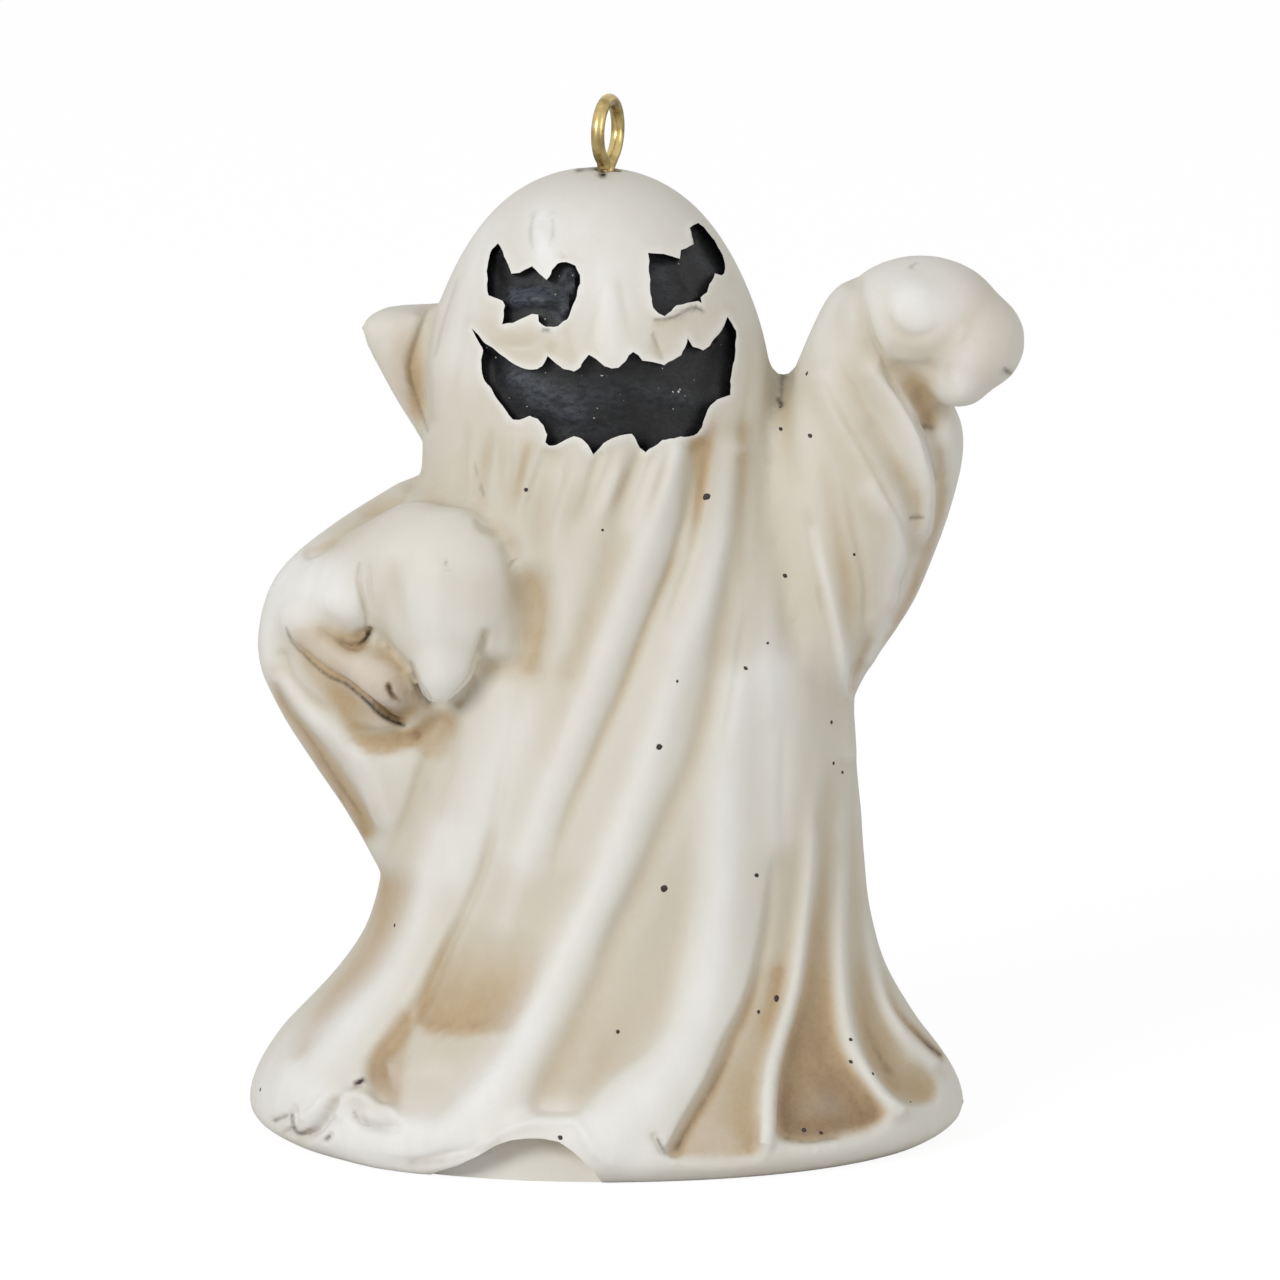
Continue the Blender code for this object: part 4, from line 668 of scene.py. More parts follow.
def pocketShare(outline, softness, across, up):
    # 1 inside the outline, 0 outside, with a soft edge between
    rows = smoothRows(outline + outline[:1], skin["pathSteps"])
    share = np.zeros(len(across))
    near = pointsNear(rows, softness, across, up)
    x = across[near]
    y = up[near]
    nearest = np.full(len(near), np.inf)
    inside = np.zeros(len(near), dtype=bool)
    for start, end in zip(rows, rows[1:]):
        run = end - start
        nearest = np.minimum(nearest, toRun(x, y, start, run)[1])
        crossed = (start[1] > y) != (end[1] > y)
        if start[1] != end[1]:
            inside ^= crossed & (x < start[0] + (y - start[1]) / run[1] * run[0])
    t = np.clip(0.5 + 0.5 * np.where(inside, nearest, -nearest) / softness, 0.0, 1.0)
    share[near] = t * t * (3.0 - 2.0 * t)
    return share


def pocketLevel(top, foot, outline, up):
    # A value that changes from the top of the outline to its foot
    ups = [point[1] for point in outline]
    return np.interp(up, (min(ups), max(ups)), (foot, top))


def facing(normals):
    # 1 where the skin faces the camera, and 1 where it faces back
    past, width = skin["turnAway"]
    front = np.clip((normals @ np.array(-sight) + past) / width, 0.0, 1.0)
    back = np.clip((normals[:, 1] + past) / width, 0.0, 1.0)
    return front, back


def isFine(row):
    return min(row[2], row[3]) < skin["fineReach"]


def pressFolds(mesh, fine):
    points, normals = readMesh(mesh)
    front, back = facing(normals)
    across, up = drawn(points)
    shift = np.zeros(len(points))
    fade = skin["fade"] if fine else 0.0
    for row in frontFolds.values():
        if isFine(row) == fine:
            shift += front * strokeRelief(row, across, up, fade)
    for row in backFolds.values():
        if isFine(row) == fine:
            shift += back * strokeRelief(row, points[:, 0], points[:, 2], fade)
    if fine:
        height, reach = face["rim"]
        for outline in face["outlines"].values():
            shift += front * strokeRelief((height, height, reach, reach, outline + outline[:1]), across, up)
    else:
        for topRelief, footRelief, _, _, softness, outline in pockets.values():
            relief = pocketLevel(topRelief, footRelief, outline, up)
            shift += front * relief * pocketShare(outline, softness, across, up)
    writeMesh(mesh, points + normals * shift[:, None])


def refine(mesh, strip):
    # Finer faces in strips along the fine folds and lines
    reachShare, extra = strip
    points, normals = readMesh(mesh)
    front, back = facing(normals)
    across, up = drawn(points)
    weight = np.zeros(len(points))
    seenInFront = (front, across, up, (*frontFolds.values(), *creaseShadeLines.values()))
    seenBehind = (back, points[:, 0], points[:, 2], backFolds.values())
    for side, sideAcross, sideUp, rows in (seenInFront, seenBehind):
        for row in filter(isFine, rows):
            wide = (1.0, 1.0, row[2] * reachShare + extra, row[3] * reachShare + extra, row[4])
            band = (side > skin["stripFacing"]) * strokeRelief(wide, sideAcross, sideUp)
            weight = np.maximum(weight, band)
    near = weight > skin["stripEdge"]
    bm = bmesh.new()
    bm.from_mesh(mesh)
    bm.verts.ensure_lookup_table()
    edges = [edge for edge in bm.edges if near[edge.verts[0].index] and near[edge.verts[1].index]]
    bmesh.ops.subdivide_edges(bm, edges=edges, cuts=1, use_grid_fill=True, smooth=0.0)
    bm.to_mesh(mesh)
    bm.free()


def cutFoot(mesh):
    bm = bmesh.new()
    bm.from_mesh(mesh)
    everything = bm.verts[:] + bm.edges[:] + bm.faces[:]
    bmesh.ops.bisect_plane(bm, geom=everything, plane_co=(0, 0, 0), plane_no=(0, 0, 1), clear_inner=True)
    bmesh.ops.contextual_create(bm, geom=[edge for edge in bm.edges if edge.is_boundary])
    bmesh.ops.triangulate(bm, faces=bm.faces[:])
    bm.normal_update()
    bm.to_mesh(mesh)
    bm.free()


# Recesses

# Outlines of the face in the drawing plane, and how deep its recesses are
face = {
    "depth": 1.15,
    "floorStep": 0.42,
    "floorRoughness": 0.045,
    "floorWaves": ((1.0, 0.55, 0.4), (0.8, 1.5, 2.2)),      # share, size and seed
    "ragged": 0.06,             # chips along the edges
    "rim": (0.13, 0.42),        # height and reach of the lip round each recess
    # ridges and steps of the floors: height at both ends, reach at both ends, path
    "ridges": {
        "left eye ledge": (0.65, 0.55, 0.45, 0.4, ((-6.9, 61.5), (-5.4, 61.7), (-3.9, 61.5))),
        "left eye wall": (0.5, 0.6, 0.3, 0.35, ((-2.5, 63.6), (-2.7, 62.2), (-3.2, 60.6))),
        "left eye corner": (-0.4, -0.3, 0.5, 0.4, ((-8.2, 64.2), (-7.9, 62.6))),
        "right eye ridge": (0.5, 0.35, 0.3, 0.3, ((5.2, 64.5), (5.5, 63.2), (6.6, 62))),
        "right eye step": (0.3, 0.4, 0.4, 0.4, ((3.5, 63.9), (4.6, 64.1))),
        "right eye lobe": (-0.35, -0.3, 0.6, 0.5, ((7.1, 66), (7.9, 64.6))),
        "mouth ridge": (0.2, 0.1, 0.7, 0.8, ((-7.4, 55.8), (-4.8, 54.6), (-2, 54))),
        "mouth ridge two": (0.15, 0.15, 0.4, 0.5, ((-6.2, 54), (-3.4, 53), (-0.6, 52.8))),
        "mouth hollow": (-0.3, -0.3, 0.7, 0.8, ((-8.6, 57.4), (-8.2, 55.6))),
        "mouth hollow right": (-0.3, -0.2, 0.8, 0.8, ((8.2, 57.6), (7.6, 55))),
        "mouth brush": (0.12, 0.12, 0.25, 0.25, ((0.6, 55.8), (3.4, 54.4), (6.2, 54))),
    },
    # painted sheen, a paler blue-grey that stands in for light caught on the black paint: strength at both
    # ends, reach at both ends, path
    "paintedSheen": {
        "left eye ledge": (2.2, 2.0, 0.6, 0.55, ((-6.7, 61.8), (-5.4, 62), (-4.2, 61.8))),
        "left eye wall": (0.9, 1.0, 0.4, 0.45, ((-3.0, 63.8), (-3.2, 62), (-3.6, 60.4))),
        "right eye": (0.35, 0.3, 0.7, 0.6, ((3.9, 63.8), (4.3, 62))),
        "right eye lobe": (0.3, 0.3, 0.4, 0.4, ((6.6, 64.8), (7.6, 64))),
        "mouth left": (1.0, 0.8, 1.0, 1.2, ((-6.6, 55.9), (-4.8, 54.6), (-2.6, 53.6))),
        "mouth middle": (0.5, 0.3, 0.8, 0.9, ((-2.2, 54.6), (0.4, 54.4))),
        "mouth right": (0.25, 0.3, 0.9, 0.9, ((2.6, 54.8), (5.6, 54.2))),
        "mouth foot": (0.3, 0.3, 0.5, 0.5, ((-3.4, 52), (0.2, 52))),
    },
    "outlines": {
        "leftEye": (
            (-8.15, 65.8), (-7.75, 65.2), (-7.4, 64.2), (-7.1, 63.55), (-6.5, 63.6), (-5.6, 64.1),
                (-5.1, 63.5),
            (-4.5, 63.0), (-4.1, 63.8), (-3.7, 64.25), (-3.1, 64.4), (-2.4, 64.1), (-2.05, 63.4),
                (-2.05, 62.8),
            (-2.3, 61.9), (-2.6, 61.0), (-3.0, 60.1), (-3.7, 59.6), (-4.6, 59.6), (-5.1, 60.0),
                (-5.1, 60.45),
            (-5.6, 60.5), (-6.3, 60.25), (-7.0, 59.85), (-7.8, 59.8), (-7.6, 61.2), (-7.8, 61.5),
                (-8.85, 61.9),
            (-8.95, 62.8), (-8.9, 64.4), (-8.6, 65.4),
        ),
        "rightEye": (
            (3.0, 65.1), (4.2, 65.0), (5.35, 64.65), (5.4, 65.3), (6.4, 65.75), (6.2, 66.4), (6.1, 67.0),
            (6.7, 67.35), (7.2, 67.0), (7.9, 66.1), (8.5, 65.0), (8.75, 64.0), (8.65, 63.6), (8.4, 63.45),
            (7.95, 63.6), (7.7, 63.0), (7.3, 62.2), (6.9, 61.75), (6.95, 61.35), (6.7, 61.5), (5.9, 61.4),
            (5.1, 61.15), (4.7, 60.75), (4.2, 60.4), (3.75, 60.6), (3.4, 61.0), (3.15, 62.0), (3.1, 63.4),
        ),
        "mouth": (
            (-10.1, 59.5), (-9.0, 58.4), (-7.8, 57.4), (-6.8, 56.75), (-5.9, 56.4), (-5.2, 56.4),
                (-4.85, 56.7),
            (-4.4, 57.4), (-3.9, 56.9), (-3.3, 56.5), (-2.5, 56.3), (-2.0, 56.55), (-1.75, 57.1),
                (-1.4, 57.5),
            (-0.9, 57.2), (-0.2, 56.7), (0.3, 56.5), (0.8, 56.55), (1.3, 57.0), (1.6, 57.5), (1.9, 57.7),
            (2.3, 57.45), (2.6, 57.1), (3.3, 57.0), (4.2, 56.75), (4.8, 57.1), (5.4, 57.5), (5.75, 58.0),
            (5.9, 58.75), (6.3, 58.15), (7.1, 57.9), (7.5, 58.2), (8.2, 59.1), (8.7, 59.8), (8.85, 60.4),
            (9.2, 59.9), (9.5, 59.3), (9.5, 58.5), (9.4, 57.2), (9.2, 56.4), (9.1, 55.6), (9.1, 54.6),
            (8.1, 54.2), (7.6, 53.8), (7.2, 53.0), (7.0, 52.2), (6.6, 51.7), (6.1, 51.5), (5.4, 51.45),
            (4.9, 51.3), (4.0, 51.2), (3.4, 50.7), (2.8, 50.3), (2.4, 50.6), (2.1, 51.2), (1.8, 51.7),
            (1.2, 51.6), (0.3, 51.3), (-0.3, 51.0), (-0.7, 50.5), (-1.05, 50.15), (-1.5, 50.8),
                (-1.9, 51.3),
            (-2.5, 51.45), (-3.2, 51.2), (-3.8, 50.85), (-4.3, 50.75), (-4.6, 51.0), (-4.5, 51.6),
            (-4.7, 52.2), (-5.2, 52.8), (-5.8, 53.0), (-6.5, 52.65), (-7.0, 52.7), (-7.3, 53.0),
                (-7.8, 53.8),
            (-8.6, 54.9), (-9.1, 55.6), (-9.4, 56.5), (-9.25, 57.8), (-9.6, 58.6),
        ),
    },
}
hemArch = {
    "footInset": 2.15, "topInset": 3.3, "height": 3.6,
    "step": 0.6, "ragged": 0.03, "uneven": 0.08, "unevenSize": 0.8,
    "outline": (
        (-13.6, -0.5), (-12.6, 0.6), (-11.2, 1.3), (-9.7, 2.1), (-8.3, 3.0), (-7.2, 3.4), (-6.0, 3.6),
        (-4.8, 3.6), (-3.6, 3.4), (-2.6, 2.8), (-1.8, 2.1), (-1.0, 1.2), (-0.2, -0.5),
    ),
}
hole = {
    "radius": 0.8, "depth": 8.3, "place": (0.0, 0.0), "sides": 28,
    # its broken rim: depth, widening, and how uneven and how deep it is uneven
    "rimDepth": 0.45, "rimWider": 0.45, "uneven": 0.12, "unevenDepth": 1.0,
    "rimRise": 0.2, "plugRise": 3.0,
}
clearOfFigure = 40.0            # a distance along the line of sight that clears the figure


def softNoise(side, up, scale, seed):
    # A smooth unevenness made of a few crossed waves
    value = 0.0
    for turn, (fast, slow) in enumerate(((1.0, 0.37), (1.7, 0.81), (2.9, 1.53))):
        angle = seed + 2.1 * turn
        along = (side * math.cos(angle) + up * math.sin(angle)) / scale
        across = (up * math.cos(angle) - side * math.sin(angle)) / scale
        value += math.sin(fast * along + slow * across + 3.1 * turn + seed) / (1 + turn)
    return value / 1.83         # the waves' shares together


def chippedOutline(outline, spacing, ragged):
    # The outline in short steps, with its corners moved a little to and fro
    chipSize = 0.22
    corners = []
    for start, end in zip(outline, outline[1:] + outline[:1]):
        start = Vector(start)
        end = Vector(end)
        pieces = max(1, round((end - start).length / spacing))
        for piece in range(pieces):
            corner = start.lerp(end, piece / pieces)
            chip = Vector([softNoise(corner.x, corner.y, chipSize, seed) for seed in (1.0, 4.0)])
            corners.append(corner + ragged * chip)
    return corners


def recessCutter(name, outline, slope, step, ragged, floorDistance):
    # A plug over the outline, along the line of sight, whose end is the floor of the recess
    line = Vector((0.0, math.cos(slope), -math.sin(slope)))
    rise = Vector((0.0, math.sin(slope), math.cos(slope)))
    corners = chippedOutline(outline, 0.8 * step, ragged)       # a little finer than the floor
    sides, ups = zip(*outline)
    inside = [Vector((side, up)) for side in np.arange(min(sides) + step / 2, max(sides), step)
              for up in np.arange(min(ups) + step / 2, max(ups), step)]
    spread = delaunay_2d_cdt(corners + inside, [], [list(range(len(corners)))], 1, 1e-4)
    bm = bmesh.new()
    ends = []
    for point in spread[0]:
        place = Vector((point.x, 0.0, 0.0)) + rise * point.y + line * floorDistance(point.x, point.y)
        ends.append(bm.verts.new(place * mm))
    for triangle in spread[2]:
        bm.faces.new([ends[index] for index in triangle])
    rim = [edge for edge in bm.edges if edge.is_boundary]
    for item in bmesh.ops.extrude_edge_only(bm, edges=rim)["geom"]:
        if isinstance(item, bmesh.types.BMVert):
            item.co -= line * (item.co.dot(line) + clearOfFigure * mm)
    bmesh.ops.contextual_create(bm, geom=[edge for edge in bm.edges if edge.is_boundary])
    bmesh.ops.triangulate(bm, faces=bm.faces[:])
    bmesh.ops.recalc_face_normals(bm, faces=bm.faces[:])
    bmesh.ops.delete(bm, geom=[vertex for vertex in bm.verts if not vertex.link_faces], context="VERTS")
    return addObject(name, meshFrom(bm, name))


def skinTree(mesh):
    # The skin, ready for rays to be cast at it
    bm = bmesh.new()
    bm.from_mesh(mesh)
    tree = BVHTree.FromBMesh(bm)
    bm.free()
    return tree


def faceCutters(mesh):
    tree = skinTree(mesh)

    def underSkin(side, up):
        distance = None
        while distance is None:
            place = Vector((side, 0.0, 0.0)) + upward * up - sight * clearOfFigure
            distance = tree.ray_cast(place * mm, sight)[3]
            side *= 0.999       # a ray that slips between two faces is cast again
        rough = sum(share * softNoise(side, up, size, seed) for share, size, seed in face["floorWaves"])
        ridge = sum(strokeRelief(row, np.array([side]), np.array([up]))[0] for row in face["ridges"].values())
        return distance / mm - clearOfFigure + face["depth"] + face["floorRoughness"] * rough - ridge

    return [recessCutter(name, outline, tilt, face["floorStep"], face["ragged"], underSkin)
            for name, outline in face["outlines"].items()]


def hemCutter():
    def oval(side, up):
        inset = hemArch["footInset"] + (hemArch["topInset"] - hemArch["footInset"]) * up / hemArch["height"]
        halfWidth = sheet["hemWidth"] / 2 - inset
        halfDepth = sheet["hemDepth"] / 2 - inset
        uneven = hemArch["uneven"] * softNoise(side, up, hemArch["unevenSize"], 1.0)
        return -halfDepth * math.sqrt(1.0 - (side / halfWidth) ** 2) + uneven

    return recessCutter("hemCutter", hemArch["outline"], 0.0, hemArch["step"], hemArch["ragged"], oval)


def holeCutter():
    # A drilled hole with a slightly broken rim
    wide = hole["radius"] + hole["rimWider"]
    profile = ((-hole["depth"], hole["radius"]), (-hole["rimDepth"], hole["radius"]),
               (hole["rimRise"], wide), (hole["plugRise"], wide))
    bm = bmesh.new()
    rings = [(crownHeight + rise, *hole["place"], radius, radius) for rise, radius in profile]
    addLoft(bm, rings, hole["sides"])
    for vertex in bm.verts:
        if vertex.co.z > (crownHeight - hole["unevenDepth"]) * mm:
            angle = math.atan2(vertex.co.y, vertex.co.x - hole["place"][0] * mm)
            outwards = Vector((math.cos(angle), math.sin(angle), 0.0))
            vertex.co += outwards * hole["uneven"] * mm * math.cos(3 * angle + 0.5)
    return addObject("holeCutter", meshFrom(bm, "holeCutter"))


def cutRecesses(body, resin, black):
    faceParts = faceCutters(body.data)
    plain = [hemCutter(), holeCutter()]
    for cutter in faceParts:
        cutter.data.materials.append(black)
    for cutter in plain:
        cutter.data.materials.append(resin)
    body.data.materials.clear()
    body.data.materials.append(resin)
    body.data.materials.append(black)
    for cutter in faceParts + plain:
        cut = body.modifiers.new(cutter.name, "BOOLEAN")
        cut.operation = "DIFFERENCE"
        cut.solver = "EXACT"
        cut.material_mode = "TRANSFER"
        cut.object = cutter
    finishedMesh(body)
    for cutter in faceParts + plain:
        bpy.data.objects.remove(cutter, do_unlink=True)


# Wash with painted shade, wear with painted highlights, painted sheen and other values of the paint, kept on
# the mesh

# Brown wash and painted shade in the drawing plane: strength at both ends, reach at both ends, path. The
# patches beside and under the bent hand, under the sleeve, in the raised sleeve's hollow, and on the right of
# the hem, raised arm, palm and head are painted shade.
washAndShadePatches = {
    "left crease": (0.18, 0.3, 0.5, 0.8, ((-10.6, 16.5), (-12.8, 12.6), (-14.2, 9.4), (-16, 6.8),
        (-16.9, 4.6), (-16.5, 2.6))),
    "left crease top": (0.15, 0.22, 0.5, 0.5, ((-8.2, 24.8), (-9.2, 20), (-10.4, 17))),
    "middle valley foot": (0.05, 0.05, 0.6, 0.8, ((0.0, 13.2), (-1.6, 10), (-3.2, 7), (-4.6, 4.4))),
    "middle valley": (0.2, 0.08, 0.7, 0.8, ((9.4, 43), (8.1, 35), (6.2, 27), (3.9, 22), (1.6, 16.5))),
    "right crease": (0.25, 0.5, 0.45, 0.5, ((11.4, 12.6), (10.4, 9.3), (9.1, 6.4), (7.7, 3.2), (6, 0.4),
        (5.2, -1.2))),
    "right pocket rust": (0.4, 0.2, 0.6, 0.7, ((12.6, 11.8), (12.2, 9.4), (11.2, 6))),
    "right valley foot": (0.1, 0.2, 0.4, 0.5, ((18.4, 13), (19, 8.6), (20, 5.8), (21.4, 3.6), (23.2, 2.8))),
    "outer right valley": (0.2, 0.75, 0.4, 0.45, ((20.2, 12.9), (21.4, 9.1), (23, 7.1), (24.8, 5.4))),
    "chest brown": (0.66, 0.2, 1.05, 0.8, ((7.2, 52), (6.8, 47.5), (6.1, 42.6))),
    "chest brown side": (0.36, 0.12, 1.0, 0.9, ((10.0, 52), (9.9, 46), (9.6, 40))),
    "chest rust": (0.3, 0.15, 0.5, 0.5, ((6.6, 52.4), (6.0, 49.6))),
    "second crease": (0.3, 0.15, 0.4, 0.4, ((5.6, 44), (3.6, 39.2), (0.8, 32), (-1.4, 27), (-3.6, 21.2))),
    # this patch and the next are painted shadow of the bent hand on the body
    "beside the hand": (0.15, 0.12, 0.9, 1.1, ((-5.8, 42.4), (-5.3, 40.4), (-5.4, 37.4), (-6.2, 34.8),
        (-8.2, 32.8))),
    "deep beside the hand": (0.05, 0.42, 0.7, 0.9, ((-5.5, 38.4), (-5.2, 36), (-5.5, 34.4))),
    "above the hand": (0.15, 0.15, 0.8, 0.8, ((-9.6, 45.6), (-7.6, 44.3), (-6.2, 42.6))),
    "chest valley": (0.15, 0.12, 0.8, 0.9, ((-4.3, 49), (-5.1, 45.5), (-5.2, 41.5))),
    # painted shade under the sleeve's hem
    "under the sleeve": (0.15, 0.25, 0.5, 0.7, ((-16.2, 29.4), (-13.6, 29.8), (-12.8, 30.8))),
    "sleeve mouth shade": (0.15, 0.42, 0.8, 0.9, ((-22, 35.4), (-19.6, 33.8), (-17.2, 31.9),
        (-15.8, 30.8))),
    "elbow underside": (0.42, 0.4, 0.6, 0.7, ((-25.0, 34), (-24.2, 31.6), (-22.4, 29), (-20, 25.6),
        (-18.0, 22.0))),
    "elbow stripes": (0.25, 0.3, 0.35, 0.35, ((-21.6, 30.6), (-19.2, 28.2), (-17.6, 25.2), (-16.6, 21.6))),
    "elbow inner valley": (0.1, 0.12, 0.5, 0.5, ((-24.4, 35), (-23.6, 33.5), (-22, 31.9), (-20.3, 31.2))),
    "sleeve dimple": (0.1, 0.4, 0.7, 0.5, ((-20.6, 37.2), (-19.4, 36.6), (-18.1, 36.9))),
    "sleeve creases": (0.15, 0.25, 0.35, 0.35, ((-18.3, 42), (-18.2, 39.4), (-17.7, 37.4))),
    # painted shade under the bent hand
    "hand underside": (0.15, 0.2, 0.6, 0.6, ((-10.6, 32), (-9.1, 34.2), (-7.2, 34.6))),
    "sleeve top": (0.15, 0.2, 0.6, 0.6, ((-13.6, 49.2), (-15.6, 47), (-18.8, 45.9))),
    "sleeve top notch": (0.6, 0.3, 0.45, 0.4, ((-22.3, 43.0), (-21.2, 43.3), (-19.6, 44.1))),
    "hood": (0.12, 0.3, 0.5, 0.5, ((-14.2, 60.3), (-14.3, 57.5), (-13.9, 54.2))),
    "neck crease": (0.25, 0.15, 0.4, 0.6, ((13.2, 56.4), (13.2, 53), (13.4, 49))),
    # this patch and the next are painted shade in the hollow of the raised sleeve
    "sleeve hollow": (0.2, 0.42, 1.1, 0.7, ((21.2, 56.2), (22.8, 55), (23.8, 52.8))),
    "sleeve hollow low": (0.42, 0.45, 0.6, 0.5, ((24.8, 50.5), (24.9, 46.4), (23.6, 42), (21.8, 38.4),
        (20.9, 36.6))),
    "sleeve fold": (0.2, 0.25, 0.8, 0.8, ((20.2, 51), (21.8, 48.6), (23, 46.2), (22.8, 42.6),
        (21.8, 39.6))),
    "sleeve inner line": (0.12, 0.15, 0.9, 0.9, ((16, 48), (17.2, 43.6), (18, 39), (18.4, 35.6))),
    "sleeve foot": (0.35, 0.45, 0.45, 0.4, ((19.6, 36.4), (18.8, 34.6), (18.3, 33))),
    "cuff": (0.15, 0.2, 0.6, 0.9, ((18.6, 62.4), (18.7, 59.8), (20, 57.6), (22.4, 56.8))),
    "palm": (0.1, 0.12, 1.2, 1.2, ((21.4, 58), (23.4, 57.4), (25, 57))),
    "hem crumple": (0.5, 0.5, 0.5, 0.5, ((-22.7, -0.2), (-21.6, 0.5), (-20.5, 2))),
    "hem dimple": (0.35, 0.25, 0.4, 0.5, ((-18.7, 1.2), (-17.6, 0.4), (-16, 0.3))),
    "hem groove": (0.15, 0.25, 0.35, 0.45, ((-16.6, -2.2), (-14, -2.2), (-12, -1.8), (-9.8, -1.35))),
    # this patch and the next two are painted shade on the right of the hem, the raised arm and the palm,
    # turned from the light
    "hem rim right": (0.2, 0.22, 0.7, 0.6, ((8, -3.2), (14, -2.9), (21, -1.9), (24.6, -0.4))),
    "right arm": (0.22, 0.22, 3.4, 3.2, ((17.6, 58), (18.6, 48), (18.2, 36))),
    "palm right": (0.36, 0.32, 2.4, 2.0, ((27.4, 62.4), (28.4, 59.4), (27.6, 56.4))),
    "palm foot": (0.24, 0.26, 1.2, 1.0, ((20.4, 60.8), (22.4, 58.4), (25.2, 58.6))),
    "elbow left": (0.25, 0.25, 2.4, 2.4, ((-14.6, 47.4), (-18.6, 45.4), (-22, 43.6))),
    "bent hand": (0.28, 0.24, 3.0, 2.4, ((-9.4, 42.4), (-9.0, 37.4))),
    "hood side": (0.3, 0.32, 2.6, 2.2, ((-18, 60), (-15.6, 56))),
    "hood shade": (0.25, 0.4, 0.8, 0.7, ((-14.6, 60.4), (-15.4, 57), (-14.5, 53.6))),
    "mid body": (0.19, 0.19, 2.6, 2.6, ((2.4, 45), (-1.6, 36), (-4.8, 26))),
    "left side": (0.14, 0.2, 0.7, 0.8, ((-12.6, 30), (-14, 26), (-16, 20.4))),
    "temple": (0.06, 0.1, 0.9, 1.1, ((-10.4, 65.4), (-11.6, 61.6), (-12.3, 57.4))),
    "head side": (0.04, 0.1, 1.8, 2.2, ((-9.4, 60.8), (-10.2, 55), (-9.6, 50))),
    # painted shade on the right side of the head, turned from the light
    "head right": (0.04, 0.1, 1.4, 1.6, ((11, 62), (12, 57), (11.6, 51))),
    "chin left": (0.26, 0.16, 0.7, 0.6, ((-8.5, 52.4), (-9.2, 49), (-9.7, 45.4))),
    "chin middle": (0.36, 0.24, 0.6, 0.6, ((-5.9, 50.8), (-6.6, 48), (-7.4, 45.2))),
    "chin right": (0.3, 0.2, 0.5, 0.5, ((2.1, 50.3), (1.0, 47.6), (-0.3, 44.4))),
    "chest folds": (0.2, 0.14, 0.5, 0.5, ((4.7, 50.7), (3.8, 47.4), (2.4, 43.6))),
    "chest": (0.16, 0.12, 2.6, 2.6, ((-4, 48.6), (-2.4, 44))),
    "chest side": (0.12, 0.1, 0.4, 0.4, ((-7.8, 51.6), (-7.9, 47))),
    "cheek": (0.15, 0.15, 0.4, 0.4, ((3.4, 59.7), (5.6, 60.6))),
}
